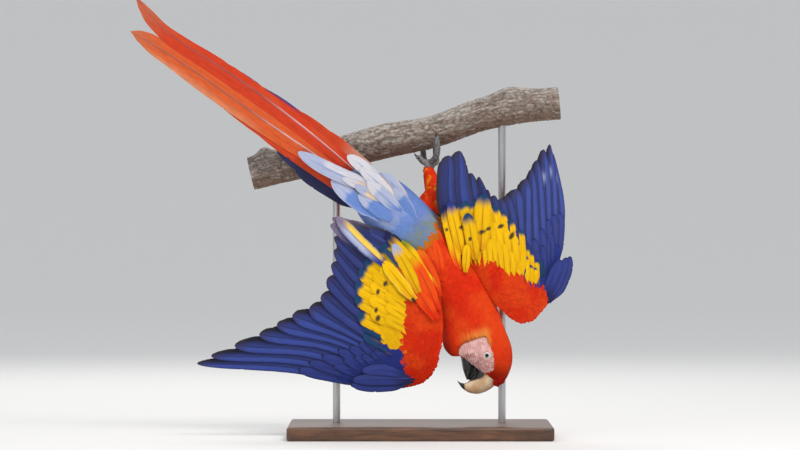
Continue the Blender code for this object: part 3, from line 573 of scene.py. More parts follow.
headVane = dict(trunkVane, columns=3, outline=((0, 0.3, 0.6, 0.85, 1), (0.5, 0.95, 1, 0.6, 0.1)),
                heights=(-1.0, 0.4), loose=0.05, crown=0.15, thickness=0.2, varied=0.035)


# A look-up of one row of a coat's table at places along its surface.
def sizedBy(coat, label):
    return lambda at: np.interp(at, coat["knots"], coat[label])


# Staggered rows of roots round a ringed surface, evenly spaced along each ring.
def ringRoots(surface, first, last, step, gap):
    angles = np.linspace(0, 2 * np.pi, 241)
    rootA, rootB = [], []
    a = first
    while a < last:
        ring = surface(np.full(len(angles), a), angles)
        run = runAlong(ring)
        count = max(6, int(round(run[-1] / gap(a))))
        places = (np.arange(count) + 0.5 * (len(rootA) % 2) + chance.uniform(-0.25, 0.25, count)) / count
        speed = np.linalg.norm(surface(np.full(len(angles), a + 0.02), angles) - ring, axis=1).mean() / 0.02
        rootB.append(np.interp((places % 1) * run[-1], run, angles))
        rootA.append(a + chance.uniform(-0.3, 0.3, count) * step(a) / speed)
        a += step(a) / speed
    return np.concatenate(rootA), np.concatenate(rootB)


# Red that turns to orange red in soft patches.
def patchyRed(at, scale, seed):
    patchy = ease(cloud(at, scale, seed), 0.25, 0.75)
    share = np.clip(patchy * 0.7 + chance.normal(0, 0.08, len(at)), 0, 1)
    return wash(toneOf("red", patchy.shape), ("orangeRed", share))


# Markings of trunk, neck and head: red, with a blue rump, a green seam and apricot behind the face. Over them
# lie painted shade in deep red by the bill and on the lower throat, a painted highlight in orange red on the
# crown and a painted lilac highlight along the rump's top edge.
def paintBody(at, t, angle):
    x, z = at[:, 0], at[:, 2]
    count = len(t)
    back = ease(-np.sin(angle), -0.35, 0.0)
    head = ease(t, 6.2, 8.0)
    # Painted shade: deep red on the lower throat (throatShade) and on the forehead by the bill (shade).
    throatShade = ease(58 - x, 0, 14) * ease(172 - z, 0, 14)
    shade = np.maximum(ease(t, 9.2, 10.9) * ease(np.cos(angle), -0.3, 0.5), throatShade)
    base = wash(patchyRed(at, 0.045, 21), ("deepRed", (1 - back) * 0.4 * ease(7.5 - t, 0, 1.5)),
                ("headRed", head * 0.5), ("deepRed", head * shade * 0.75),
                # Painted highlight: orange red on the crown.
                ("orangeRed", head * ease(np.cos(angle), 0.2, 0.8) * ease(9.2 - t, 0, 1.2) * 0.5))
    tip = wash(base, ("deepRed", np.clip(chance.normal(0.12, 0.08, count), 0, 0.4) * (1 - head * 0.7)))
    away = -outlineDepth(faceOutline, x, z)
    apricot = ease(21 - away, 0, 18) * ease(z, 143, 152) * ease(118 - x, 0, 14) * ease(x, 58, 74) * back
    streak = np.clip(apricot + chance.normal(0, 0.12, count) * (apricot > 0.05), 0, 1)
    seam = 3.2 - 0.35 * np.cos(angle) ** 2 + chance.normal(0, 0.05, count)
    # Lilac over the rump: soft random patches, plus a painted highlight that grows towards its top edge at
    # the tail's root.
    pale = 0.7 * ease(cloud(at, 0.04, 22), 0.45, 0.85) + 0.5 * ease(1.5 - t, 0, 1.5)
    pale = pale + chance.normal(0, 0.02, count)
    warm = ease(cloud(at, 0.09, 24), 0.66, 0.85) * ease(1.6 - t, 0, 1.0)
    blue = wash(toneOf("rump", t.shape), ("lilac", np.clip(pale, 0, 0.9)),
                ("brightBlue", 0.3 * ease(cloud(at, 0.04, 23), 0.45, 0.8)), ("cream", warm * 0.8))
    green = ease(t, 2.5, 2.95) * ease(3.45 - t, 0, 0.12) * back * chance.uniform(0.35, 0.7, count)
    markings = (("apricot", streak * 0.92), (blue, (t < seam) * back))
    under = ("skyBlue", (t < 0.95) * (1 - back))
    return wash(base, *markings, under), wash(tip, *markings, ("green", green), under)


def growBody():
    step, gap, length, width = (sizedBy(bodyCoat, label) for label in ("step", "gap", "length", "width"))
    for name, first, last, look, slot, island in (
            ("trunk_coat", 0.12, 5.6, trunkVane, "plumage_red", (0.02, 0.02, 0.46, 0.46)),
            ("neck_coat", 5.6, 7.6, trunkVane, "plumage_red", (0.02, 0.52, 0.96, 0.2)),
            ("head_coat", 7.6, 11.0, headVane, "plumage_head", wholeMap)):
        t, angle = ringRoots(bodyPoint, first, last, step, gap)
        at = bodyPoint(t, angle)
        keep = outlineDepth(faceOutline, at[:, 0], at[:, 2]) < 0.3
        t, angle = t[keep], angle[keep]
        flow = -surfaceFrame(bodyPoint, t, angle, 1)[0]
        growCoat(name, bodyPoint, 1, t, angle, flow, (length(t), width(t)), paintBody, look,
                 materials["contour"], slot, island)


growBody()


# Markings of the wings, as outlines of x and z: yellow coverts and the teal seam outside them.
yellowField = {
    "right": ((-26, 112), (-26, 232), (-16, 262), (14, 240), (18, 248), (-2, 290), (-38, 326), (-60, 318),
              (-62, 283), (-87, 272), (-86, 252), (-82, 223), (-98, 204), (-70, 172), (-50, 146)),
    "left": ((36, 364), (62, 372), (85, 378), (110, 372), (126, 362), (151, 340), (160, 318), (176, 290),
             (182, 266), (180, 245), (163, 252), (142, 273), (114, 289), (98, 306), (86, 300), (70, 264),
             (50, 302)),
}
tealField = {
    "right": ((-62, 283), (-87, 290), (-112, 270), (-108, 200), (-80, 165), (-52, 122), (-26, 112),
              (-50, 146), (-70, 172), (-98, 204), (-82, 223), (-86, 252), (-87, 272)),
    "left": ((30, 364), (36, 380), (90, 398), (135, 386), (160, 350), (176, 310), (196, 262), (198, 232),
             (180, 245), (182, 266), (176, 290), (160, 318), (151, 340), (126, 362), (110, 372), (85, 378),
             (62, 372)),
}
# The blue hand starts at these x, on the left further out the lower it lies.
handFrom = {"right": -23, "left": 189, "below": 240, "slope": 1.2, "farthest": 22}
armCoat = {
    "knots": (0, 0.2, 0.4, 0.55), "length": (10, 14, 19, 24), "width": (7.5, 9, 10.5, 13),
    "step": (4, 5, 6.5, 8), "gap": (4.5, 5.4, 6.4, 8),
}
handCoat = {
    "knots": (0, 0.2, 0.45), "length": (13, 20, 32), "width": (7, 9, 11), "step": (4, 6, 9),
    "gap": (4, 5.5, 8),
}
underCoat = {
    "knots": (0, 0.3, 0.6, 0.9), "length": (12, 18, 24, 26), "width": (9, 12, 14, 15),
    "step": (6, 8, 10, 11), "gap": (7, 8.5, 9.5, 10),
}
wingVane = dict(trunkVane, rows=7, heights=(-0.9, 0.5), swing=0.045, spotted=True, tintAt=(0.6, 0.6),
                outline=((0, 0.2, 0.5, 0.78, 0.93, 1), (0.4, 0.85, 1, 0.92, 0.66, 0.15)))


# Rows of roots over a wing, from the leading edge back, evenly spaced along the span.
def spanRoots(side, level, kFrom, kTo, cFrom, cTo, step, gap):
    rootK, rootC = [], []
    c = cFrom
    k = np.linspace(kFrom, kTo, 121)
    chord = np.linalg.norm(wingCurves(side, k)[1] - wingCurves(side, k)[0], axis=1).mean()
    while c < cTo:
        run = runAlong(wingPoint(side, k, np.full(len(k), c), level))
        count = max(3, int(round(run[-1] / gap(c))))
        places = (np.arange(count) + 0.25 + 0.5 * (len(rootK) % 2) + chance.uniform(-0.2, 0.2, count)) / count
        rootK.append(np.interp(places * run[-1], run, k))
        rootC.append(np.maximum(c + chance.uniform(-0.3, 0.3, count) * step(c) / chord, 0.01))
        c += step(c) / chord
    return np.concatenate(rootK), np.concatenate(rootC)


# Upper wing: red shoulder, yellow field, teal seam and blue hand, feather by feather.
def paintWing(side):
    def paint(at, k, c):
        count = len(k)
        x, z = at[:, 0] + chance.normal(0, 2, count), at[:, 2] + chance.normal(0, 2, count)
        red = patchyRed(at, 0.05, 25)
        tip = wash(red, ("deepRed", np.clip(chance.normal(0.22, 0.1, count), 0, 0.6)))
        yellow, teal = ((outlineDepth(field[side], x, z) > 0)[:, None] for field in (yellowField, tealField))
        warm = wash(toneOf("yellow", k.shape), ("gold", chance.uniform(0, 0.5, count)))
        seam = wash(toneOf("teal", k.shape), ("blue", chance.uniform(0, 0.6, count)))
        base = np.where(teal, wash(seam, (warm, 0.25)), np.where(yellow, warm, red))
        tip = np.where(teal, seam, np.where(yellow, warm, tip))
        outwards = np.clip((handFrom["below"] - z) * handFrom["slope"], 0, handFrom["farthest"])
        beyond = x < handFrom["right"] if side == "right" else x > handFrom["left"] + outwards
        hand = ((k > 7.9) & beyond)[:, None]
        blue = wash(toneOf("blue", k.shape), ("navy", chance.uniform(0, 0.3, count)))
        return np.where(hand, blue, base), np.where(hand, blue, tip)
    return paint


def paintUnder(at, k, c):
    red = wash(toneOf("red", k.shape), ("deepRed", chance.uniform(0.2, 0.8, len(k))))
    gold = wash(toneOf("underGold", k.shape), ("underRed", chance.uniform(0.1, 0.8, len(k))))
    share = ease(c, 0.5, 0.75)
    return wash(red, (gold, share)), wash(red, ("underRed", share))


# Coats of arm, hand and underside: level, numbers and chord that they cover, and where they lie on the map.
def growWingCoats(side):
    for name, level, kFrom, kTo, cFrom, cTo, coat, paint, slot, bottom in (
            ("arm_coat_", 1, 0, 8.4, 0.015, 0.62, armCoat, paintWing(side), "plumage_red", 0.02),
            ("hand_coat_", 1, 8.2, 14.6, 0.015, 0.46, handCoat, paintWing(side), "vanes_blue", 0.35),
            ("under_coat_", -1, 0.3, 14.4, 0.02, 0.76, underCoat, paintUnder, "plumage_red", 0.68)):
        step, gap, length, width = (sizedBy(coat, label) for label in ("step", "gap", "length", "width"))
        surface = lambda k, c: wingPoint(side, k, c, level)
        k, c = spanRoots(side, level, kFrom, kTo, cFrom, cTo, step, gap)
        middle = surfaceFrame(surface, np.array([6.0]), np.array([0.4]), 1)[2]
        flip = float(np.sign(-middle[0, 1] * level))
        at = surface(k, c)
        field = np.maximum(*(outlineDepth(outline[side], at[:, 0], at[:, 2])
                             for outline in (yellowField, tealField)))
        keep = (c < 0.3) | (field < -2) | (level < 0) | (k > 6.8)
        k, c = k[keep], c[keep]
        flow = surfaceFrame(surface, k, c, 1)[1]
        growCoat(name + side, surface, flip, k, c, flow, (length(c), width(c)), paint, wingVane,
                 materials["contour"], slot, (0.02, bottom, 0.96, 0.28))


for side in ("right", "left"):
    growWingCoats(side)


rowCount = quillLook["rows"]
alongVane = 1 - (1 - np.linspace(0, 1, rowCount)) ** 1.25
acrossVane = np.array(quillLook["columns"])
u3, v3 = acrossVane[None, None, :], alongVane[None, :, None]    # the same over whole rows of quills
hands = {"right": 1, "left": -1}
# lean, reach and broad are looked up by feather number, for the innermost feathers of the left wing.
flight = {"count": 15, "from": 0.6, "outerShare": 0.66, "innerShare": 1.15, "outerLimits": (6, 15),
          "innerLimits": (9, 21), "tilt": 0.06, "curl": 0.3, "shaftFoot": 1.0, "shaftTip": 0.3,
          "lean": {"right": ((0, 1), (0, 0)), "left": ((0, 1.5, 3.5, 5), (0.7, 1.4, 2.2, 0))},
          "reach": {"right": ((0, 1), (1, 1)),
                    "left": ((2, 2.5, 3, 4, 4.5, 6.5, 7), (1, 0.7, 1, 1, 0.86, 0.9, 1))},
          "broad": {"right": ((0, 1), (1, 1)), "left": ((0.9, 1, 1.1, 2.9, 3, 3.1), (1, 1.7, 1, 1, 1.6, 1))},
          "blunt": {"right": (0.80, 0.80, 0.84, 0.62, 0.5), "left": (0.80, 0.62, 0.84, 0.62, 0.5)}}


# Middle line of a quill in the wing's sheet, from under the coverts over the covert edge to its tip. The
# innermost quills lean, and the short ones between them stay behind their edge.
def flightAxis(side, k):
    lean = np.interp(k, *flight["lean"][side])
    places = [wingPoint(side, np.array([k + lean * (1.4 - c)]), np.array([c]), 0)[0]
              for c in (flight["from"], 1.0)]
    tip = wingCurves(side, np.array([k]))[2][0]
    places.append(places[1] + (tip - places[1]) * np.interp(k, *flight["reach"][side]))
    run = np.cumsum([0] + [np.linalg.norm(b - a) for a, b in zip(places, places[1:])])
    return curveThrough(run, places, alongVane * run[-1])


def quillTone(colour, count):
    return toneOf(colour, (count, rowCount, len(acrossVane)))


# Fifteen flight feathers: blue, darker inwards, with a bright outer web that is partly painted sheen, a black
# inner one and a dark shaft, a painted shadow line along the outer rim, and painted highlights on the right
# tertials' tips and across the left outer primaries.
def growFlight(side):
    count = flight["count"]
    number = np.arange(count)
    byNumber = lambda numbers, values: np.interp(number, numbers, values)[:, None, None]
    behind, axis, ahead = (np.array([flightAxis(side, k + part) for k in number]) for part in (0, 0.5, 1.0))
    along = unit(np.gradient(axis, axis=1))
    apart = ahead - behind
    spacing = np.linalg.norm(apart - along * np.sum(apart * along, axis=-1, keepdims=True), axis=-1)
    up = np.repeat(wingNormal(side, number + 0.5)[:, None], rowCount, axis=1)
    pointed = byNumber((1, 4, 8, 12, 14), flight["blunt"][side])[:, 0]
    profile, slim = (vaneProfile(alongVane[None], 0.5, 0.25, tipStart, 2.0) for tipStart in (pointed, 0.25))
    broad = byNumber(*flight["broad"][side])[:, 0]
    outer = np.clip(spacing * flight["outerShare"], *flight["outerLimits"]) * broad
    outer = outer * np.where(broad > 1, slim, profile)
    inner = np.clip(spacing * flight["innerShare"], *flight["innerLimits"]) * profile
    toTip = np.repeat(alongVane[None], count, axis=0)
    shaft = flight["shaftFoot"] + (flight["shaftTip"] - flight["shaftFoot"]) * toTip
    tertial = (number < 3)[:, None, None] * 1.0
    dusk = byNumber((0, 3, 7, 9, 14), (0.5, 0.6, 0.45, 0.05, 0.1))
    dusk = dusk + chance.uniform(-0.05, 0.1, count)[:, None, None]
    # The bright blue band down the outer web is partly the web's own brighter blue and partly a painted
    # sheen.
    sheen = np.exp(-((u3 + 0.4) / 0.5) ** 2) * (0.25 + 0.4 * ease(number, 6, 9)[:, None, None])
    web = byNumber((0, 3, 8, 11, 14), (0.6, 0.5, 0.42, 0.32, 0.28))
    top = wash(quillTone("blue", count), ("navy", dusk),
               ("brightBlue", sheen * (0.4 + 0.6 * ease(v3, 0.1, 0.5))), ("navy", ease(u3, 0.0, 0.10) * 0.25),
               # The soot at the outer rim (u below -0.84) is a painted shadow line where the rim lies over
               # the next quill.
               ("soot", ease(u3, web, web + 0.14) * 0.92), ("soot", ease(-u3, 0.84, 0.98) * 0.8),
               ("soot", np.exp(-(u3 / 0.07) ** 2) * 0.6), ("brown", ease(v3, 0.86, 1.0) * 0.6),
               ("brightBlue", np.exp(-((u3 + 0.22) / 0.16) ** 2) * tertial * 0.55),
               ("brown", ease(np.abs(u3), 0.7, 0.95) * tertial * 0.7))
    # Painted highlights: mauve towards the tips of the right tertials, and on the left a lilac band broken
    # into stripes across the outer primaries.
    frayed = 0.3 + 0.5 * (np.sin(v3 * 260) * 0.5 + 0.5)
    worn = (number > 11)[:, None, None] * np.exp(-((v3 - 0.74) / 0.05) ** 2) * ease(u3, -0.4, 0.3)
    paintedHighlights = {"right": ("mauve", tertial * ease(v3, 0.6, 0.95) * 0.7), "left": ("lilac", worn * frayed)}
    top = wash(top, paintedHighlights[side])
    under = wash(quillTone("underGold", count), ("underRed", 0.35 + 0.4 * ease(u3, -0.2, 0.9)),
                 ("soot", 0.35 + 0.3 * ease(v3, 0.6, 1)))
    replaced = ["%s_%s" % (part, side) for part in ("tertials", "secondaries", "primaries")]
    growQuills("flight_feathers_" + side, axis, up, (outer, inner), shaft, flight["curl"], flight["tilt"],
               top, under, materials["flight"], "vanes_blue", replaced, hand=hands[side])


for side in ("right", "left"):
    growFlight(side)


# Each entry: foot, tip, width, bow sideways, then colours of foot, middle, rim and tip, and of the half
# web to the right of the shaft where that differs.
def growLoose(name, entries, up, material, slot, replaced=(), lift=2.0, shaft=0.6, tipStart=0.72,
              tipFrom=0.74, tipSpan=0.1, shaftTone="rust", edge=None, narrow=0.55):
    count = len(entries)
    foot, tip, width, bow = (np.array([entry[part] for entry in entries], float)[:,
                                                                                 None] for part in range(4))
    v = alongVane[None, :, None]
    up = np.broadcast_to(unit(np.asarray(up, float)).reshape(-1, 1, 3), (count, rowCount, 3))
    sideways = unit(np.cross(tip - foot, up[:, :1]))
    axis = foot + (tip - foot) * v + (sideways * bow[..., None] + up[:, :1] * lift) * 4 * v * (1 - v)
    half = width / 2 * vaneProfile(alongVane[None], narrow, 0.35, tipStart, 2.0)
    named = [[colours[entry[part] if len(entry) > part else entry[5]] for entry in entries]
             for part in range(4, 9)]
    footTone, middle, rim, tipTone, right = np.array(named)[:, :, None, None]
    wavy = 0.015 * np.sin(chance.uniform(0, 6, (count, 1, 1)) + 5 * u3)
    wavy = wavy + chance.normal(0, 0.012, (count, 1, 1))
    tint = wash(np.broadcast_to(footTone, (count, rowCount, len(acrossVane), 3)),
                (middle, ease(v3, 0.1, 0.45)), (right, ease(u3, 0.0, 0.12) * ease(v3, 0.05, 0.2)),
                (rim, ease(np.abs(u3), 0.6, 1.0) * 0.6),
                (tipTone, ease(v3 + wavy, tipFrom, tipFrom + tipSpan)))
    # The edge colour round rim and tip is a painted shadow line where each quill lies over the next.
    if edge:
        tint = wash(tint, (edge, np.maximum(ease(np.abs(u3), 0.8, 0.97), ease(v3, 0.96, 0.99)) * 0.85))
    tint = wash(tint, (shaftTone, np.exp(-(u3 / 0.09) ** 2) * 0.6 * ease(1 - v3, 0.1, 0.4)))
    tint = tint * (1 + chance.normal(0, 0.035, count))[:, None, None, None]
    shafts = shaft * (1.1 - alongVane[None]) * np.ones((count, 1))
    tint = spotted(axis[:, :, None] + sideways[:, None] * (u3 * half[..., None])[..., None], tint)
    # The under side takes the tint at 0.7 as painted shade.
    growQuills(name, axis, up, (half, half), shafts, 0.45, 0.0, tint, tint * 0.7, material, slot, replaced)


# Quills that lie on a wing from chord place cFoot to cTip, one for each feather number.
def wingEntries(side, numbers, cFoot, cTip, width, tones, raised=0.8):
    entries = []
    for k in numbers:
        k = k + chance.uniform(-0.12, 0.12)
        up = wingNormal(side, np.array([k]))[0]
        farther = 0.16 * ease(k, 5.8, 7.6) * (side == "left" and cFoot < 0.45)
        ends = [wingPoint(side, np.array([k]), np.array([c]), 1)[0]
                for c in (cFoot + farther, cTip + chance.uniform(-0.02, 0.02))]
        entries.append((ends[0] - up * 2.6, ends[1] + up * raised, width * chance.uniform(0.92, 1.1), 0.0,
                        *tones))
    return entries


# Coverts that carry the yellow on to the wrist: feather number, then where foot and tip lie on the chord.
wristCoverts = {
    "right": (),
    "left": ((8.6, 0.46, 1.0), (9.15, 0.46, 0.97), (9.7, 0.46, 0.91), (10.2, 0.45, 0.8), (8.8, 0.46, 0.8),
             (9.4, 0.46, 0.76), (9.95, 0.45, 0.68), (10.75, 0.45, 0.72), (11.2, 0.45, 0.62)),
}


# Greater and median coverts of arm and hand: rows of quills, the lower row first.
def growWingQuills(side):
    yellow = ("yellow", "yellow", "gold", "yellow")
    tipped = ("yellow", "yellow", "gold", "teal")
    teal = ("teal", "teal", "navy", "teal")
    last = {"right": 7.4, "left": 8.2}[side]
    rows = ((np.arange(0.4, last, 0.95), 0.5, 1.06, 25, tipped, 0.8),
            (np.arange(last, 8.6, 0.6), 0.45, 1.03, 20, ("gold", *teal[1:]), 0.8),
            (np.arange(0.9, last - 0.6, 0.9), 0.36, 0.86, 22, yellow, 1.5),
            (np.arange(0.5, last - 0.6, 0.8), 0.28, 0.68, 18, yellow, 1.9),
            *(([k], cFoot, cTip, 17, tipped if k < 10.5 else teal, 2.4) for k, cFoot,
              cTip in wristCoverts[side]))
    entries = [entry for row in rows for entry in wingEntries(side, *row)]
    growLoose("greater_coverts_" + side, entries, wingNormal(side, np.array([6.0])), materials["contour"],
              "plumage_red", tipStart=0.78, tipFrom=0.80)
    blue = ("navy", "blue", "blue", "blue")
    entries = wingEntries(side, np.arange(8.5, 15, 1)[::-1], 0.25, 1.04, 18, blue)
    entries += wingEntries(side, np.arange(8.3, 13.9, 0.8)[::-1], 0.08, 0.84, 14, blue, 1.0)
    growLoose("primary_coverts_" + side, entries, wingNormal(side, np.array([11.0])), materials["flight"],
              "vanes_blue", lift=1.6, shaftTone="navy", edge="soot")


for side in ("right", "left"):
    growWingQuills(side)

# Alula: overlapping feathers that make one oval over the wrist.
alulaPaths = {
    "right": (((-10, -38, 90), (-111, -40, 85), 18, -5), ((-8, -39, 94), (-108, -42, 93), 20, 0),
              ((-8, -39, 98), (-93, -43, 107), 20, 5.5)),
    "left": (((208, 8, 214), (241, 13, 289), 19, 5), ((205, 8, 214), (235, 9, 287), 20, 1),
             ((202, 8, 216), (226, 6, 283), 20, -4)),
}
alulaUp = {"right": (0, -1, 0), "left": (0.3, -0.95, 0)}
for side, paths in alulaPaths.items():
    growLoose("alula_feathers_" + side, [(*path, "navy", "blue", "blue", "blue") for path in paths],
              alulaUp[side], materials["flight"], "vanes_blue", ["alula_" + side], lift=2.5, tipStart=0.62,
              shaftTone="navy", edge="soot", narrow=0.15)


# A point on the body's back at (x, z), raised by lift:
# depth * (1 - |2 share - 1|^p)^(1/p) off the row's centre.
def onBack(x, z, lift):
    t = np.linspace(0, bodyShape["last"], 600)
    row = curveThrough(np.arange(len(bodyShape["rows"])), bodyShape["rows"], t)
    left, across = row[:, :2], row[:, 2:4] - row[:, :2]
    share = np.sum((np.array((x, z)) - left) * across, axis=1) / np.sum(across**2, axis=1)
    share = np.clip(share, 0.01, 0.99)
    best = np.argmin(np.linalg.norm(left + across * share[:, None] - (x, z), axis=1))
    power = bodyShape["power"]
    bulge = (1 - abs(2 * share[best] - 1) ** power) ** (1 / power)
    return np.array((x, row[best, 4] - row[best, 5] * bulge - lift, z))


# Scapulars and innermost coverts over the border of wing and back.
scapulars = {
    "right": (((30, -58, 226), (-4, -60, 300), 19, 3, "red", "orangeRed", "orangeRed", "orange"),
              ((28, -58, 205), (-14, -62, 288), 20, 2, "red", "orangeRed", "orangeRed", "gold"),
              ((25, -58, 190), (-36, -61, 275), 23, 2, "red", "orangeRed", "orangeRed", "orange"),
              ((17, -61, 240), (-56, -59, 327), 16, 2, "gold", "yellow", "gold", "navy"),
              ((24, -60, 240), (-30, -58, 314), 15, 3, "orangeRed", "yellow", "gold", "green"),
              ((-2, -62, 232), (-43, -61, 309), 19, 1, "gold", "yellow", "gold", "lilac"),
              ((-26, -61, 268), (-58, -59, 302), 10, 0, "teal", "teal", "green", "teal"),
              # The pale yellow rim of the next feather, and the lilac middle and mauve tip of the long one
              # after it, are painted highlight.
              ((-8, -63, 220), (-58, -61, 282), 20, -1, "gold", "yellow", "paleYellow", "yellow"),
              ((-52, -61, 274), (-132, -55, 352), 21, -3, "blue", "lilac", "blue", "mauve", "paleYellow")),
    "left": (((62, -52, 268), (37, -52, 371), 18, 0, "orangeRed", "yellow", "gold", "navy"),
             ((66, -53, 292), (47, -55, 376), 18, 0, "gold", "yellow", "gold", "blue"),
             ((88, -51, 285), (74, -57, 358), 21, 0, "gold", "yellow", "gold", "teal"),
             ((96, -50, 300), (101, -56, 388), 27, 0, "gold", "yellow", "gold", "teal"),
             ((72, -54, 264), (74, -58, 308), 13, 0, "gold", "yellow", "gold", "yellow")),
}
for side, entries in scapulars.items():
    growLoose("scapulars_" + side, entries, (0, -1, 0), materials["contour"], "plumage_red", tipFrom=0.72,
              tipSpan=0.22)


# Short feathers of the forehead in two rows, the front one over the root of the bill, in deep red that is
# painted shade on the downturned forehead.
browLook = {"count": 15, "feet": ((135.5, 101), (130.5, 97)), "tips": ((133, 85.5), (124.5, 80.5)),
            "middle": -20,
            "half": 14, "width": 8, "pull": 7}


def growBrow():
    turns = np.linspace(-1, 1, browLook["count"])
    entries = []
    for (footX, footZ), (tipX, tipZ) in zip(browLook["feet"], browLook["tips"]):
        for turn in turns:
            y = browLook["middle"] + browLook["half"] * turn
            pull = browLook["pull"] * turn**2
            entries.append(((footX - pull, y, footZ + 2), (tipX - pull, y * 0.9 - 2, tipZ + pull * 0.4),
                            browLook["width"], 0, *["deepRed"] * 4))
    up = np.column_stack([0.8 - 0.3 * np.abs(turns), turns * 1.2, np.full(len(turns), -0.3)])
    growLoose("brow_feathers", entries, np.tile(up, (2, 1)), materials["contour"], "plumage_head", lift=1.0,
              shaft=0.2, tipStart=0.5, shaftTone="deepRed")


growBrow()

# Long pointed feathers of the mantle that reach over the rump: foot x, z, tip x, z and width.
mantle = ((36, 250, 29, 331, 15), (24, 236, 15, 303, 16), (34, 262, 22, 316, 14), (14, 228, 8, 284, 16),
          (44, 276, 39, 338, 13), (4, 214, -2, 262, 15))
mantleEntries = [(onBack(x, z, 1.0), onBack(tipX, tipZ, 1.6), width, 1, "red", *["orangeRed"] * 3)
                 for x, z, tipX, tipZ, width in mantle]
growLoose("mantle_feathers", mantleEntries, (0, -1, 0), materials["contour"], "plumage_red", lift=1.2,
          tipStart=0.45)
print("wings done")


tailShape = {
    # along and off the tail's axis to the tip of each feather of a side, the middle one first
    "left": ((352, 28), (284, 35), (218, 38), (156, 40), (104, 40)),
    "right": ((340, 30), (270, 33), (200, 34), (140, 43), (98, 50)),
    "root": (-94, -27, 404.5), "along": (-0.811, 0, 0.586), "across": (0.586, 0, 0.811), "rise": -16,
    "length": 465,
    "count": 6, "baseHalf": {"left": 24, "right": 36}, "inset": 8, "outerHalf": 11, "innerHalf": 19,
}
# The middle pair: reach along the tail, then off the tail's axis, outer web and inner web at each reach.
middlePair = {
    "left": ((-14, 90, 200, 300, 365, 400, 436, 465), (8, 18, 22, 19, 15.5, 17, 23.8, 32),
             (8, 12, 11.5, 12, 9.5, 7, 6, 0.4), (12, 24, 30, 24, 18, 15.5, 12, 0.6)),
    "right": ((-14, 90, 200, 300, 365, 400, 420, 438), (3, 5.5, 8.5, 9.5, 12, 14.3, 16, 18),
              (9, 18, 21.5, 22, 17.5, 14.5, 9, 0.5), (9, 18, 20, 18, 18, 14.5, 12, 0.5)),
}


# Middle lines of one side's six feathers: along the tail, and out to their own place across it.
def tailAxis(side):
    sign = {"left": 1, "right": -1}[side]
    reach, over = np.array(tailShape[side], float).T
    number = np.arange(tailShape["count"])
    v = alongVane[None, :]
    start = tailShape["baseHalf"][side] * (number[1:, None] + 0.3) / tailShape["count"]
    out = start + (over[:, None] - tailShape["inset"] - start) * v**0.6
    run = reach[:, None] * v - 14 * (1 - v)
    knots, off, outer, inner = (np.array(row, float) for row in middlePair[side])
    first = knots[0] + (knots[-1] - knots[0]) * v
    middle = curveThrough(knots, np.column_stack([off, outer, inner]), first[0])
    run = np.concatenate([first, run])
    out = np.concatenate([middle[None, :, 0], out])
    along, across = (np.array(tailShape[key]) for key in ("along", "across"))
    axis = np.array(tailShape["root"], float) + along * run[..., None] + across * sign * out[..., None]
    layer = number + np.where(number == 0, 0.55 * (side == "right"), 0)
    axis[..., 1] += tailShape["rise"] * run / tailShape["length"] + 1.0 * layer[:, None] - 2.6
    return axis, run, middle[:, 1], middle[:, 2]


# Six tail feathers of one side: red with a painted orange highlight in patches down the outer web.
# Those on the left have blue rims, those on the right pale and slate ones.
def growTail(side):
    axis, run, outerWeb, innerWeb = tailAxis(side)
    count = tailShape["count"]
    number = np.arange(count)
    first = (number == 0)[:, None, None] * 1.0
    profile = vaneProfile(alongVane[None], 0.55, 0.2, 0.62, 2.0) * np.ones((count, 1))
    outer, inner = tailShape["outerHalf"] * profile, tailShape["innerHalf"] * profile
    outer[0], inner[0] = np.maximum(outerWeb, 0.3), np.maximum(innerWeb, 0.3)
    shaft = np.repeat((1.3 - 1.0 * alongVane)[None], count, axis=0)
    run = run[..., None]
    patches = cloud(axis[:, :, None] + u3[..., None] * 9, 0.03, 31)
    # Painted highlight: orange in soft patches down the outer web.
    outerWebHighlight = np.exp(-((u3 + 0.5) / 0.3) ** 2) * ease(patches, 0.4, 0.8)
    highlightWash = ("tailOrange", outerWebHighlight * 0.4)
    pale = ease(-u3, 0.35, 0.95) * ease(run, 150, 230) * ease(430 - run, 0, 60)
    own = {
        "right": (("tailOrange", first * 0.85), ("tailPink", first * pale * 0.85), highlightWash,
                  ("slate", ease(number, 3.2, 4)[:, None, None])),
        "left": (("blue", ease(-u3, 0.55, 0.75) * ease(run, 140, 165) * (1 - first)),
                 ("cream", ease(-u3, 0.3, 0.8) * ease(70 - run, 0, 50) * (1 - first) * 0.6), highlightWash),
    }
    shaftTone = wash(quillTone("white", count), ("brown", ease(run, 130, 220) * 0.85))
    top = wash(quillTone("tailRed", count), ("tailOrange", chance.uniform(0.0, 0.3, count)[:, None, None]),
               *own[side], ("brown", first * ease(run, 360, 470) * 0.3),
               ("tailPink", first * ease(run, 370, 450) * 0.35),
               (shaftTone, np.exp(-(u3 / 0.05) ** 4) * first * 0.95))
    under = wash(quillTone("underRed", count), ("underGold", 0.25 + 0.3 * v3))
    growQuills("tail_feathers_coat_" + side, axis, np.tile((0.0, -1.0, 0.0), (count, rowCount, 1)),
               (outer, inner), shaft, 0.2, 0.03, top, under, materials["tail"], "vanes_red",
               ["tail_feathers_" + side], hand=hands[side])


for side in ("left", "right"):
    growTail(side)

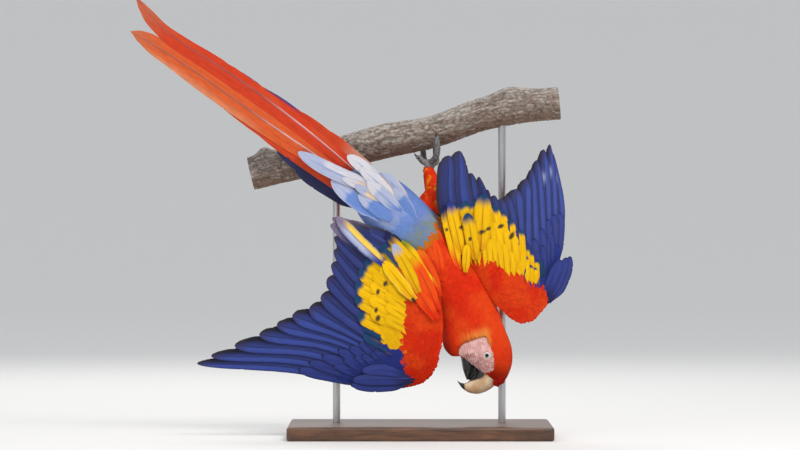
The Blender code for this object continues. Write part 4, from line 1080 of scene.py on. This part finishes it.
# Upper tail coverts: light blue, with lilac, cream and white towards their tips that are partly painted
# highlight along the rump's top edge.
upperCoverts = (
    (onBack(-62, 350, 0.0), (-141, -43, 411), 25, -3, "rump", "rump", "lilac", "lilac"),
    (onBack(-40, 372, 0.0), (-96, -48, 430), 22, 4, "lilac", "white", "cream", "white"),
    (onBack(-20, 368, 0.0), (-60, -44, 421), 20, 3, "skyBlue", "lilac", "cream", "lilac"),
    ((-58, -47, 400), (-116, -46, 449), 21, 3, "cream", "white", "lilac", "white"),
    ((-66, -48, 396), (-194, -44, 455), 24, -5, "cream", "lilac", "lilac", "lilac", "white"),
    (onBack(-58, 388, 1.0), (-124, -48, 414), 13, -2, "tailPink", "cream", "lilac", "white"),
    (onBack(-48, 378, 0.5), (-104, -50, 402), 16, -2, "rump", "cream", "lilac", "lilac"),
    (onBack(-30, 360, 0.2), (-84, -52, 408), 22, 0, "rump", "lilac", "lilac", "white"),
    (onBack(-44, 348, 0.2), (-98, -49, 388), 22, -1, "rump", "rump", "rump", "lilac"),
    (onBack(-8, 348, 0.2), (-44, -50, 398), 20, 1, "rump", "rump", "lilac", "lilac"),
)
lowerCoverts = (
    ((-74, -8, 408), (-150, -17, 452), 20, 4, "skyBlue", "skyBlue", "skyBlue", "lilac"),
    ((-90, -6, 398), (-206, -22, 470), 20, 0, "skyBlue", "skyBlue", "rump", "skyBlue"),
    ((-100, -8, 386), (-150, -17, 424), 20, -4, "skyBlue", "skyBlue", "skyBlue", "lilac"),
    ((-82, -4, 392), (-130, -12, 430), 22, 0, "rump", "skyBlue", "skyBlue", "rump"),
)
for name, coverts, up in (("upper", upperCoverts, (0, -1, 0)), ("lower", lowerCoverts, (0, 1, 0))):
    growLoose("tail_coverts_coat_" + name, coverts, up, materials["contour"], "plumage_pale", lift=1.2,
              tipStart=0.6, tipFrom=0.6, shaftTone="rump")
print("tail done")


branchShape = {
    "y": 34, "radius": 27, "bumps": ((-243, 14, 12, 40), (147, 24, 8, 60), (-60, 40, 3, 90)),
    "line": ((-272, 421), (-192, 440), (-118, 457), (-50, 474), (24, 490), (107, 519), (160, 529),
             (224, 535)),
}
legShape = {
    "ball": (16, 20, 436), "ballRadius": 9.4, "toeRadius": 5.2, "rightX": -106, "clawRadius": 2.6,
    "thighs": {"left": ((14.5, 17, 424, 8.5), (19, 12, 408, 12), (24, 6, 388, 18), (12, 0, 352, 29)),
               "right": ((-104.5, 17, 394, 8.5), (-97, 14, 384, 12), (-80, 9, 370, 18), (-50, 3, 348, 26))},
    # the left foot's toes and claws, which the right foot mirrors
    "toes": (((17, 16, 439), (25, 5, 447), (28, 1.5, 461), (26.5, 1.0, 476)),
             ((13, 20, 438), (5, 21, 441), (-1, 23, 447)),
             ((20, 26, 438), (26, 44, 441), (26, 59, 453), (25, 66.5, 472)),
             ((14, 27, 438), (9, 44, 440), (6, 57, 449), (5, 66, 468))),
    "claws": (((26.4, 1.4, 477.0), (26.2, 1.8, 482.5), (25.8, 5.6, 487.5)),
              ((-2.0, 23.4, 448.2), (-6.0, 25.0, 450.0), (-9.0, 30.0, 454.2)),
              ((25.0, 66.6, 473.2), (25.0, 67.6, 480.0), (25.0, 63.2, 486.4)),
              ((4.9, 66.2, 469.2), (4.8, 68.0, 476.0), (4.6, 64.2, 482.4))),
}


def branchHeight(x):
    line = np.asarray(branchShape["line"], float)
    return curveThrough(line[:, 0], line[:, 1:2], np.asarray(x, float))[..., 0]


# Points of the left leg, or their mirror image at the right foot, on the branch's slope.
def legPoints(points, side):
    points = np.array(points, float)
    if side == "right":
        foot = legShape["ball"]
        drop = branchHeight(foot[0]) - branchHeight(legShape["rightX"])
        slope = (branchHeight(30) - branchHeight(-20)) / 50
        lean = slope * 2 * (points[..., 0] - foot[0])
        points[..., 2] -= drop + np.where(points[..., 2] > foot[2], lean, 0)
        points[..., 0] = legShape["rightX"] - (points[..., 0] - foot[0])
    return points


def toePath(toe, side):
    points = legPoints(toe, side)
    radii = np.linspace(1, 0.84, len(points)) * legShape["toeRadius"]
    return np.column_stack([points, radii])


def shankPath(side):
    rows = legShape["thighs"][side]
    points = np.array([legPoints(legShape["ball"], side), rows[0][:3], rows[1][:3]], float)
    return np.column_stack([points, (6.5, 6, 5)])


thighVane = dict(trunkVane, heights=(-1.2, 1.0), loose=0.5, rows=6, columns=3, first=0.35)
scaleVane = dict(headVane, heights=(-0.25, 0.35), ragged=0.0, loose=0.02, crown=0.15, thickness=0.3,
                 swing=0.03, outline=((0, 0.3, 0.6, 0.85, 1), (0.7, 1, 1, 0.85, 0.45)), tipArc=0.2, first=0.3)


def paintThigh(at, s, angle):
    red = wash(toneOf("red", s.shape), ("orangeRed", chance.uniform(0, 0.5, len(s))))
    return red, wash(red, ("yellow", (chance.random(len(s)) < 0.12) * 0.5))


def paintScales(at, s, angle):
    grey = wash(toneOf("foot", s.shape), ("footPale", chance.uniform(0, 0.5, len(s))))
    return grey, wash(grey, ("footPale", 0.5))


# A coat round a tube. Its vanes lie along the path, or against it where way is -1.
def coatTube(name, path, way, last, step, gap, sizes, paint, look, material, slot):
    surface = lambda s, angle: tubePoint(path, s, angle)
    s, angle = ringRoots(surface, look["first"], last, step, gap)
    along, _, normal = surfaceFrame(surface, s, angle, 1)
    flip = float(np.sign(np.sum(normal * (surface(s, angle) - tubePoint(path, s, angle, -3.0)))))
    growCoat(name, surface, flip, s, angle, way * along, sizes(s), paint, look, materials[material], slot)


for side in ("left", "right"):
    coatTube("thigh_coat_" + side, legShape["thighs"][side], -1, 2.9, lambda s: 4.5, lambda s: 4.5 + s,
             lambda s: (12 + 3 * s, 7 + 1.5 * s), paintThigh, thighVane, "contour", "plumage_red")
    for number, toe in enumerate(legShape["toes"], 1):
        coatTube("toe_scales_%s_%d" % (side, number), toePath(toe, side), 1, len(toe) - 1.0, lambda s: 3.4,
                 lambda s: 4.0, lambda s: (4.4, 4.3), paintScales, scaleVane, "scales", "foot_scales")


# A closed solid through rings, its two ends drawn together, faces turned outwards.
def solidFromRings(name, rings, tint, material, sharpAngle=60):
    rings = np.asarray(rings, float)
    ends = [end.mean(axis=1, keepdims=True).repeat(rings.shape[1], axis=1) for end in (rings[:1], rings[-1:])]
    rings = np.concatenate([ends[0], rings, ends[1]])
    tint = np.concatenate([tint[:1], tint, tint[-1:]])
    quads = gridQuads(len(rings), rings.shape[1], closed=True)
    flat = rings.reshape(-1, 3)
    corner = flat[quads] - flat.mean(axis=0)
    if np.sum(corner[:, 0] * np.cross(corner[:, 1], corner[:, 2])) < 0:
        quads = quads[:, ::-1]
    piece = makePiece(name, flat, quads, material, tint, sharpAngle=sharpAngle)
    work = bmesh.new()
    work.from_mesh(piece.data)
    bmesh.ops.remove_doubles(work, verts=work.verts, dist=1e-6)
    work.to_mesh(piece.data)
    work.free()
    return piece


# Claws: a tube along each claw's arc whose radius falls as (1 - 0.93 s)^0.7, pale at the root.
def growClaw(side, number, claw):
    s = np.linspace(-0.35, 2, 20)
    radii = legShape["clawRadius"] * (1 - 0.93 * np.clip(s / 2, 0, 1)) ** 0.7
    path = np.column_stack([curveThrough(np.arange(3), legPoints(claw, side), s), radii])
    rings = tubePoint(path, *ringGrid(np.arange(20.0), 16))
    tint = wash(toneOf("foot", rings.shape[:2]), ("hornBlack", ease(s, -0.1, 0.5)[:, None]))
    piece = solidFromRings("claw_horn_%s_%d" % (side, number), rings, tint, materials["hornDark"])
    finishPiece(piece, "horn_dark", "claw_%s_%d" % (side, number))


for side in ("left", "right"):
    for number, claw in enumerate(legShape["claws"], 1):
        growClaw(side, number, claw)
print("legs done")


headShape = {
    # sections as in the body's rows, along each mandible's arc from its root to its tip
    "bill_upper": ((89.5, 111.5, 121.5, 85, -20, 15.5), (85.5, 99.5, 113.5, 78.5, -20, 14),
                   (80.5, 93, 103.6, 73, -20, 11.5), (76, 89, 91.5, 69.8, -20, 9),
                   (71.8, 87, 78, 71.8, -20, 6.5), (65.4, 87.4, 67.6, 78.4, -20, 4),
                   (58.8, 91, 60.6, 87.8, -20, 1.3)),
    "bill_lower": ((64.7, 130.6, 85, 113.6, -20, 12.5), (66, 122, 84.6, 108.5, -20, 12.5),
                   (68, 110, 81.3, 103, -20, 10.5), (71.5, 99, 78.2, 97.5, -20, 7.5),
                   (74.6, 91.8, 76.4, 93.2, -20, 4)),
    "tongue": ((83.4, 121, 93, 113, -20, 6), (83.0, 109.8, 91.5, 106.4, -20, 6),
               (80.2, 103.1, 87.6, 99.8, -20, 4.6), (77.6, 97.8, 83.4, 95.0, -20, 3.6),
               (75.6, 92.9, 79.8, 91.6, -20, 1.6)),
    "blackWedge": ((84, 114), (92, 111), (103, 100.5), (96, 95), (84, 91.5), (78, 89), (71, 84.8), (70, 90),
                   (78, 94)),
    "eye": (106, 132), "eyeRadius": 7.5, "pupil": 2.9, "iris": 5.2, "lidRadius": 5.9, "lidThickness": 0.7,
}


# A mandible: oval sections along its arc, with faint growth lines and worn, darker edges.
def growBill(name, node, first, last, paint, material, slot):
    t, angle = ringGrid(np.linspace(first, last, 64), 48)
    rings = ovalPoint(headShape[node], t, angle, 2.0)
    middle = rings.mean(axis=1, keepdims=True)
    lines = 0.006 * np.sin(t * 19 + np.cos(angle) * 2) * ease(t, first, first + 0.5)
    rings = middle + (rings - middle) * (1 + lines)[..., None]
    finishPiece(solidFromRings(name, rings, paint(rings, t, np.cos(angle)), material), slot, node)


def paintUpper(at, t, side):
    worn = cloud(at, 0.09, 3)
    depth = outlineDepth(headShape["blackWedge"], at[..., 0], at[..., 2])
    black = np.maximum(ease(depth + worn * 1.5, -0.6, 1.4), ease(t + worn * 0.3 - 0.25 * side, 4.3, 4.7))
    line = np.exp(-((side + 0.93) / 0.04) ** 2) * ease(2.6 - t, 0, 0.6) * ease(t, 0.2, 0.5)
    return wash(toneOf("hornPale", t.shape),
                ("hornTan", ease(worn + 0.25 * ease(t, 1.5, 3.5), 0.35, 0.8) * 0.8),
                ("cream", ease(cloud(at, 0.25, 5), 0.5, 0.9) * 0.3), ("hornBlack", black),
                ("footPale", line * 0.6))


def paintLower(at, t, side):
    line = np.exp(-((side - 0.92) / 0.05) ** 2) * ease(3.8 - t, 0, 0.5) * ease(t, 0.4, 0.9)
    return wash(toneOf("hornBlack", t.shape), ("foot", ease(cloud(at, 0.2, 8), 0.45, 0.9) * 0.3),
                ("footPale", line * 0.7))


def paintTongue(at, t, side):
    return toneOf("soot", t.shape)


growBill("bill_upper_horn", "bill_upper", -0.25, 6.0, paintUpper, materials["hornPale"], "horn_pale")
growBill("bill_lower_horn", "bill_lower", -0.15, 4.0, paintLower, materials["hornDark"], "horn_dark")
growBill("tongue_flesh", "tongue", 0.0, 4.0, paintTongue, materials["hornDark"], "horn_dark")


# Eyeball: a sphere about the sideways axis, coloured by the distance from that axis. Its lid is a ring.
def growEye(side, sign):
    low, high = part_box("eye_" + side)
    centre = np.array((low + high) / 2) / mm
    radius, pupil, iris = (headShape[key] for key in ("eyeRadius", "pupil", "iris"))
    polar, around = ringGrid(np.linspace(0.01, np.pi - 0.01, 48), 48)
    out = radius * np.sin(polar)
    ball = np.stack([centre[0] + out * np.cos(around), centre[1] + sign * radius * np.cos(polar),
                     centre[2] + out * np.sin(around)], axis=-1)
    flecks = 0.86 + 0.2 * cloud(np.stack([around * 9, out, out], axis=-1), 1.0, 2)
    tone = wash(colours["iris"] * flecks[..., None], ("irisShade", ease(pupil + 1.0 - out, 0, 1.0) * 0.7),
                ("pupil", ease(pupil - out, -0.15, 0.15)), ("eyeRim", ease(out, iris - 0.3, iris + 0.3)))
    finishPiece(solidFromRings("eyeball_" + side, ball, tone, materials["eye"]), "eye", "eye_" + side)
    ring, tube = ringGrid(np.linspace(0, 2 * np.pi, 65)[:-1], 12)
    thick = headShape["lidThickness"] * (1 + 0.25 * np.sin(ring))
    away = headShape["lidRadius"] + thick * np.cos(tube)
    rise = np.sqrt(radius**2 - headShape["lidRadius"] ** 2)
    lid = np.stack([centre[0] + away * np.cos(ring), centre[1] + sign * (rise + 0.15 + thick * np.sin(tube)),
                    centre[2] + away * np.sin(ring)], axis=-1)
    quads = gridQuads(65, 12, closed=True) % (64 * 12)
    tone = wash(toneOf("face", ring.shape), ("white", 0.45))
    finishPiece(makePiece("eyelid_" + side, lid, quads[:, ::sign], materials["skin"], tone), "plumage_head")


growEye("right", -1)
growEye("left", 1)


# Lines of tiny feathers across the bare face: arcs one gap apart about a point past the crown.
faceLines = {"centre": (132, 152), "gap": 3.2, "half": 0.4, "clear": 8.6, "wave": 3.0, "size": (2.3, 0.9)}


# Distance from the middle of the nearest line, with the lines waved by soft noise.
def lineDistance(at):
    run = np.hypot(at[..., 0] - faceLines["centre"][0], at[..., 2] - faceLines["centre"][1])
    run = run + faceLines["wave"] * (cloud(at, 0.16, 41) - 0.5)
    return np.abs((run / faceLines["gap"]) % 1 - 0.5) * faceLines["gap"]


def eyeDistance(at):
    return np.hypot(at[:, 0] - headShape["eye"][0], at[:, 2] - headShape["eye"][1])


def growFaceLines():
    t, angle = ringRoots(bodyPoint, 8.2, 10.98, lambda t: 1.15, lambda t: 0.95)
    at = bodyPoint(t, angle)
    keep = (lineDistance(at) < faceLines["half"]) & (eyeDistance(at) > faceLines["clear"])
    keep &= (outlineDepth(faceOutline, at[:, 0], at[:, 2]) > 1.5) & (cloud(at, 0.35, 42) > 0.45)
    t, angle = t[keep], angle[keep]
    look = dict(headVane, heights=(0.1, 0.6), rows=4, tipFrom=0.2)
    paint = lambda at, t, angle: (toneOf("faceLine", t.shape), toneOf("faceDeep", t.shape))
    flow = -surfaceFrame(bodyPoint, t, angle, 1)[0]
    growCoat("face_feather_lines", bodyPoint, 1, t, angle, flow, faceLines["size"], paint, look,
             materials["contour"], "plumage_head")


growFaceLines()
print("head done")


skinShape = {
    "voxel": 0.0022, "smoothing": 5, "socket": 3.4, "faceCuts": 3, "faceSmoothing": 6,
    # by feather number: how deep the flesh of a wing lies, and how far back it reaches
    "wingInset": ((0, 8, 15), (1.7, 1.7, 1.1)), "wingEnd": ((0, 8, 15), (0.72, 0.65, 0.45)),
    # height, distance from the eye and width
    "lidRing": (1.0, 7.2, 1.3), "lidFold": (0.35, 10.4, 0.9), "lidGroove": (0.3, 9.0, 0.6),
}


def bodySkinRings():
    t, angle = ringGrid(np.linspace(-0.6, 11.0, 150), 64)
    at = bodyPoint(t, angle)
    normal = surfaceFrame(bodyPoint, t, angle + 1e-3, 1)[2]
    depth = np.interp(t, (0, 6.5, 8), (bodyCoat["skinDepth"], 2.2, bodyCoat["headDepth"]))
    bare = ease(outlineDepth(faceOutline, at[..., 0], at[..., 2]), -2.0, 0.5) * ease(t, 7.5, 8)
    return at - normal * (depth * (1 - bare) + 0.05)[..., None]


def wingSkinRings(side):
    k = np.linspace(0, 15, 70)
    share = (1 - np.cos(np.linspace(0, np.pi, 24))) / 2
    c = np.interp(k, *skinShape["wingEnd"])[:, None] * share[None]
    inset = np.interp(k, *skinShape["wingInset"])[:, None, None]
    k = np.repeat(k[:, None], len(share), axis=1)
    normal = wingNormal(side, k)
    fade = np.sqrt(ease(c, 0, 0.05))[..., None]
    upper = wingPoint(side, k, c, 1) - normal * inset * fade
    lower = wingPoint(side, k, c, -1) + normal * inset * fade
    lead = unit(wingCurves(side, k)[1] - wingCurves(side, k)[0]) * 1.2 * (1 - fade)
    return np.concatenate([upper + lead, (lower + lead)[:, -2:0:-1]], axis=1)


def tubeSkinRings(path, last, steps):
    s, angle = ringGrid(np.linspace(0, last, steps), 24)
    rings = tubePoint(path, s, angle, -0.3)
    ends = np.sqrt(np.clip(1 - np.clip((s - last + 0.35) / 0.35, 0, 1) ** 2, 0.02, 1))[..., None]
    middle = rings.mean(axis=1, keepdims=True)
    return middle + (rings - middle) * ends


def ballRings(centre, radius):
    polar, around = ringGrid(np.linspace(0.1, np.pi - 0.1, 16), 24)
    x, y = np.sin(polar) * np.cos(around), np.sin(polar) * np.sin(around)
    return np.asarray(centre) + radius * np.stack([x, y, np.cos(polar)], axis=-1)


# All flesh as closed shells in one mesh, melted into one surface by a voxel remesh and smoothed.
def meltSkin():
    shells = [bodySkinRings(), wingSkinRings("right"), wingSkinRings("left")]
    for side in ("left", "right"):
        shells.append(tubeSkinRings(np.array(legShape["thighs"][side], float) - (0, 0, 0, 1.2), 3, 24))
        shells.append(tubeSkinRings(shankPath(side), 2, 16))
        shells.append(ballRings(legPoints(legShape["ball"], side), legShape["ballRadius"]))
        shells += [tubeSkinRings(toePath(toe, side), len(toe) - 1, 30) for toe in legShape["toes"]]
    parts = [solidFromRings("shell", rings, np.zeros(rings.shape), materials["skin"]) for rings in shells]
    work = bmesh.new()
    for part in parts:
        work.from_mesh(part.data)
        bpy.data.objects.remove(part)
    mesh = bpy.data.meshes.new("skin")
    work.to_mesh(mesh)
    work.free()
    whole = addObject("skin", mesh)
    melt = whole.modifiers.new("melt", "REMESH")
    melt.mode = "VOXEL"
    melt.voxel_size = skinShape["voxel"]
    whole.modifiers.new("smooth", "SMOOTH").iterations = skinShape["smoothing"]
    bpy.context.view_layer.update()
    mesh = bpy.data.meshes.new_from_object(whole.evaluated_get(bpy.context.evaluated_depsgraph_get()))
    bpy.data.objects.remove(whole)
    return mesh


# The bare face gets faces a quarter as long, so that lids and folds have something to bend.
def refineFace(mesh):
    work = bmesh.new()
    work.from_mesh(mesh)
    centres = np.array([face.calc_center_median() for face in work.faces]) / mm
    bare = outlineDepth(faceOutline, centres[:, 0], centres[:, 2]) > -3
    bare &= (np.abs(centres[:, 1] + 20) > 5) & (centres[:, 1] > -60)
    faces = [face for face, chosen in zip(work.faces, bare) if chosen]
    edges = list({edge for face in faces for edge in face.edges})
    bmesh.ops.subdivide_edges(work, edges=edges, cuts=skinShape["faceCuts"], use_grid_fill=True)
    places = np.array([vert.co for vert in work.verts]) / mm
    near = outlineDepth(faceOutline, places[:, 0], places[:, 2]) > -4
    fine = [vert for vert, chosen in zip(work.verts, near) if chosen]
    for _ in range(skinShape["faceSmoothing"]):
        bmesh.ops.smooth_vert(work, verts=fine, factor=0.5, use_axis_x=True, use_axis_y=True, use_axis_z=True)
    bmesh.ops.triangulate(work, faces=[face for face in work.faces if len(face.verts) > 4])
    work.normal_update()
    work.to_mesh(mesh)
    work.free()


# Number of the target nearest to each point, and how far away it is.
def nearest(points, targets):
    tree = KDTree(len(targets))
    for index, place in enumerate(targets):
        tree.insert(place, index)
    tree.balance()
    numbers, distances = zip(*(tree.find(place)[1:] for place in points))
    return np.array(numbers), np.array(distances)


# Height of the face's relief, as bumps size * exp(-((away - place) / width)^2) about the eye:
# a ring, a fold and a groove, with a socket, shallow lines and soft noise.
def faceRelief(at, away):
    bump = lambda size, place, width: size * np.exp(-((away - place) / width) ** 2)
    line = ease(0.9 - lineDistance(at), 0, 0.6) * ease(away, faceLines["clear"] - 1, faceLines["clear"] + 1)
    lift = bump(*skinShape["lidRing"]) + bump(*skinShape["lidFold"]) - bump(*skinShape["lidGroove"])
    lift = lift - skinShape["socket"] * ease(6.1 - away, 0, 1.3) - 0.25 * line
    lift = lift + 0.3 * (cloud(at, 0.35, 4) - 0.5)
    return lift, line


# The skin under feathers takes the colour of the nearest root darkened to 0.6 as painted shade under the
# coat, the face its pink and the feet their grey.
def paintSkin(at, away, line, bare):
    roots, rootTones = (np.concatenate(column) for column in zip(*paintSamples))
    shape = away.shape
    flush = np.clip(ease(cloud(at, 0.16, 6), 0.3, 0.8) * 0.6 + 0.4 * ease(12 - away, 0, 6), 0, 1)
    pink = wash(toneOf("face", shape), ("faceDeep", flush),
                ("faceLine", line * ease(cloud(at, 0.4, 43), 0.3, 0.8) * 0.5))
    toes = np.array(sum(legShape["toes"], ()))
    feet = np.concatenate([legPoints(toes, side) for side in ("left", "right")])
    pads = np.stack([legPoints(legShape["ball"], side) for side in ("left", "right")])
    pale = ease(11 - nearest(at, pads)[1], 0, 3) * (0.5 + 0.5 * cloud(at, 0.3, 44))
    grey = wash(toneOf("foot", shape), ("footPale", pale))
    onFeet = ease(15 - nearest(at, feet)[1], 0, 3) * (at[:, 2] > 396)
    # Under the coat the roots' colours at 0.6 are painted shade.
    return wash(rootTones[nearest(at, roots)[0]] * 0.6, (pink, bare), (grey, onFeet))


def buildSkin():
    mesh = meltSkin()
    refineFace(mesh)
    at, normal = (np.empty(len(mesh.vertices) * 3, np.float32) for _ in range(2))
    mesh.vertices.foreach_get("co", at)
    mesh.vertices.foreach_get("normal", normal)
    at, normal = at.reshape(-1, 3) / mm, normal.reshape(-1, 3)
    inside = outlineDepth(faceOutline, at[:, 0], at[:, 2])
    onHead = (at[:, 2] < 175) & (at[:, 0] > 55) & (at[:, 0] < 150) & (at[:, 1] < 15)
    bare = ease(inside, -0.6, 1.6) * onHead
    away = eyeDistance(at)
    lift, line = faceRelief(at, away)
    at = at + normal * (lift * bare)[:, None]
    tint = paintSkin(at, away, line, bare)
    mesh.vertices.foreach_set("co", np.ascontiguousarray(at * mm, np.float32).ravel())
    setTint(mesh, tint)
    mesh.shade_smooth()
    mesh.materials.clear()
    mesh.materials.append(materials["skin"])
    print("skin", len(mesh.polygons), "faces")
    flesh = ["trunk", "neck", "head", "tail_coverts_upper", "tail_coverts_lower"]
    flesh += [part + side for part in ("wing_arm_", "wing_hand_", "thigh_", "foot_")
              for side in ("left", "right")]
    finishPiece(addObject("skin", mesh), "plumage_red", *flesh)


buildSkin()


barkShape = {
    "rows": 440, "around": 160, "ridge": 0.8, "plate": 0.9, "grain": 0.5, "wander": 1.2, "crack": 0.6,
    "sunk": 1.2,
    "endRings": (0.97, 0.8, 0.6, 0.4, 0.2, 0.05), "years": 60,
}


# Bark: the branch's round section about its line, raised by bumps, plates, long ridges and fine grain.
def buildBranch():
    line = np.asarray(branchShape["line"], float)
    x, angle = ringGrid(np.linspace(line[0, 0], line[-1, 0], barkShape["rows"]), barkShape["around"])
    slope = (branchHeight(x + 1) - branchHeight(x - 1)) / 2
    across = unit(np.stack([-slope, np.zeros_like(x), np.ones_like(x)], axis=-1))
    ring = across * np.sin(angle)[..., None] + np.array((0.0, 1.0, 0.0)) * np.cos(angle)[..., None]
    swell = np.zeros_like(x)
    for place, width, size, top in branchShape["bumps"]:
        facing = np.clip((np.sin(angle) - np.cos(np.radians(top))) * 4, 0, 1)
        swell += np.exp(-((x - place) / width) ** 2) * size * facing
    spot = np.stack([x / 60, np.cos(angle) * 1.6, np.sin(angle) * 1.6], axis=-1)
    warp = cloud(spot, 2.0, 1)
    fine = np.stack([x / 9 + warp, np.cos(angle) * 4.6 + warp, np.sin(angle) * 4.6], axis=-1)
    ridge = 1 - np.abs(2 * cloud(fine, 1.0, 2) - 1)
    cracks = ease(0.16 - np.abs(cloud(fine, 1.4, 9) - 0.5), 0, 0.14)
    grain = cloud(np.stack([x / 3, np.cos(angle) * 14, np.sin(angle) * 14], axis=-1), 1.0, 7)
    lift = swell - barkShape["sunk"] + barkShape["ridge"] * (ridge - 0.6)
    lift = lift + barkShape["plate"] * (cloud(fine, 2.3, 5) - 0.5) - barkShape["crack"] * cracks
    lift = lift + barkShape["grain"] * grain + barkShape["wander"] * (warp - 0.5)
    centre = np.stack([x, np.full_like(x, branchShape["y"]), branchHeight(x)], axis=-1)
    rings = centre + ring * (branchShape["radius"] + lift)[..., None]
    patch = cloud(spot * (1.0, 2.0, 2.0), 3.1, 12) * 0.6 + cloud(fine, 2.1, 13) * 0.4
    tint = wash(toneOf("bark", x.shape), ("barkBrown", ease(-np.sin(angle), 0.0, 0.9) * 0.5),
                ("lichen", ease(patch + 0.18 * np.sin(angle), 0.46, 0.7) * 0.7),
                # barkDark in the cracks and low grain: partly the bark's own darker fissures and partly
                # painted shade in the hollows.
                ("barkDark", np.clip(cracks * 0.6 + ease(0.35 - grain, 0, 0.3) * 0.5, 0, 1)))
    shares = np.array(barkShape["endRings"])[:, None, None]
    caps = []
    for row, inwards in ((0, shares[::-1]), (-1, shares)):
        cap = centre[row] + (rings[row] - centre[row]) * inwards
        years = 0.5 + 0.5 * np.sin(inwards[..., 0] * barkShape["years"])
        caps.append((cap, wash(toneOf("wood", cap.shape[:2]), ("woodDark", years))))
    rings = np.concatenate([caps[0][0], rings, caps[1][0]])
    tint = np.concatenate([caps[0][1], tint, caps[1][1]])
    finish = tintedMaterial("bark", 0.88, 700.0, 0.22, 0.0008, stretch=(0.4, 1, 1))
    finishPiece(solidFromRings("branch_bark", rings, tint, finish, sharpAngle=70), "bark", "perch_branch")


# Stained wood: long wavy bands along X, darker pores and a satin coat.
def standWood():
    made, tree, shader = startMaterial("stand_wood", 0.42, Coat_Weight=0.35, Coat_Roughness=0.25)
    bands = noiseOver(tree, objectPlace(tree, (1.4, 9.0, 9.0)), 9.0, 6.0, Distortion=1.2)
    pores = noiseOver(tree, objectPlace(tree, (8.0, 260.0, 260.0)), 4.0, 2.0)
    ramp = addNode(tree, "ValToRGB", {0: bands})
    for stop, place, colour in zip(ramp.color_ramp.elements, (0.3, 0.7), (ink(70, 42, 26), ink(118, 76, 46))):
        stop.position = place
        stop.color = (*colour, 1.0)
    dark = addNode(tree, "MapRange", {0: pores, 1: 0.35, 2: 0.6, 3: 0.6, 4: 1.0}).outputs[0]
    addGrain(tree, shader, dark, ramp.outputs[0])
    addBump(tree, shader, 0.3, 0.0002, pores)
    return made


# Brushed steel: fine rings round the rod in its roughness and bump.
def rodSteel():
    made, tree, shader = startMaterial("rod_steel", 0.32, Metallic=1.0)
    rings = noiseOver(tree, objectPlace(tree, (30.0, 30.0, 2200.0)), 1.0, 2.0)
    rough = addNode(tree, "MapRange", {0: rings, 3: 0.24, 4: 0.42}).outputs[0]
    tone = addNode(tree, "ValToRGB", {0: rings})
    tone.color_ramp.elements[0].color = (0.42, 0.42, 0.43, 1.0)
    tone.color_ramp.elements[1].color = (0.62, 0.62, 0.63, 1.0)
    tree.links.new(tone.outputs[0], shader.inputs["Base Color"])
    tree.links.new(rough, shader.inputs["Roughness"])
    addBump(tree, shader, 0.1, 0.0001, rings)
    return made


buildBranch()
steel = rodSteel()
for node, finish in (("stand_base", standWood()), ("stand_rod_1", steel), ("stand_rod_2", steel)):
    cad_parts[node].material_slots[0].material = finish
print("perch and stand done")


stageShape = {"flat": 9.0, "rim": 22.0, "height": 9.0, "rows": 60, "around": 96}


# A round sweep: flat floor, then a quarter turn of an ellipse up to the rim.
def buildStage():
    paint = startMaterial("studio_floor", 0.85, Base_Color=(0.78, 0.775, 0.765, 1.0))[0]
    bend = np.linspace(0, np.pi / 2, stageShape["rows"] - 2)
    flat, rim, around = stageShape["flat"], stageShape["rim"], stageShape["around"]
    radius = np.concatenate([[0.001, 1.0], flat + (rim - flat) * np.sin(bend)])
    height = np.concatenate([[0, 0], stageShape["height"] * (1 - np.cos(bend))])
    out, turn = ringGrid(radius, around)
    rise = np.repeat(height[:, None], around, axis=1)
    points = np.stack([out * np.cos(turn), out * np.sin(turn), rise], axis=-1)
    quads = gridQuads(len(radius), around, closed=True)[:, ::-1]
    floor = makePiece("floor", points / mm, quads, paint)


def addLamp(name, place, target, size, power, colour):
    lamp = bpy.data.lights.new(name, "AREA")
    lamp.shape = "RECTANGLE"
    lamp.size, lamp.size_y = size
    lamp.energy = power
    lamp.color = colour
    made = addObject(name, lamp)
    made.location = place
    made.rotation_euler = (Vector(target) - Vector(place)).to_track_quat("-Z", "Y").to_euler()


buildStage()
middle = (-0.05, 0.0, 0.38)
addLamp("key", (1.0, -2.0, 2.8), middle, (1.2, 1.2), 66, (1.0, 0.97, 0.93))
addLamp("fill", (-2.4, -2.6, 1.2), middle, (2.2, 1.8), 14, (0.93, 0.96, 1.0))
addLamp("rim", (-0.6, 2.4, 2.2), middle, (1.8, 1.2), 26, (1.0, 0.98, 0.95))
world = bpy.data.worlds.new("studio")
world.use_nodes = True
world.node_tree.nodes["Background"].inputs["Color"].default_value = (0.95, 0.97, 1.0, 1.0)
world.node_tree.nodes["Background"].inputs["Strength"].default_value = 0.74
bpy.context.scene.world = world
bpy.context.scene.view_settings.view_transform = "Standard"

view = {"distance": 6.0, "x": -0.032, "z": 0.339, "frameWidth": 1.28, "sensor": 36.0}
lens = bpy.data.cameras.new("camera")
lens.sensor_width = view["sensor"]
lens.lens = view["sensor"] * view["distance"] / view["frameWidth"]
camera = addObject("camera", lens)
camera.location = (view["x"], -view["distance"], view["z"])
camera.rotation_euler = (np.pi / 2, 0, 0)
bpy.context.scene.camera = camera

print("scene done")
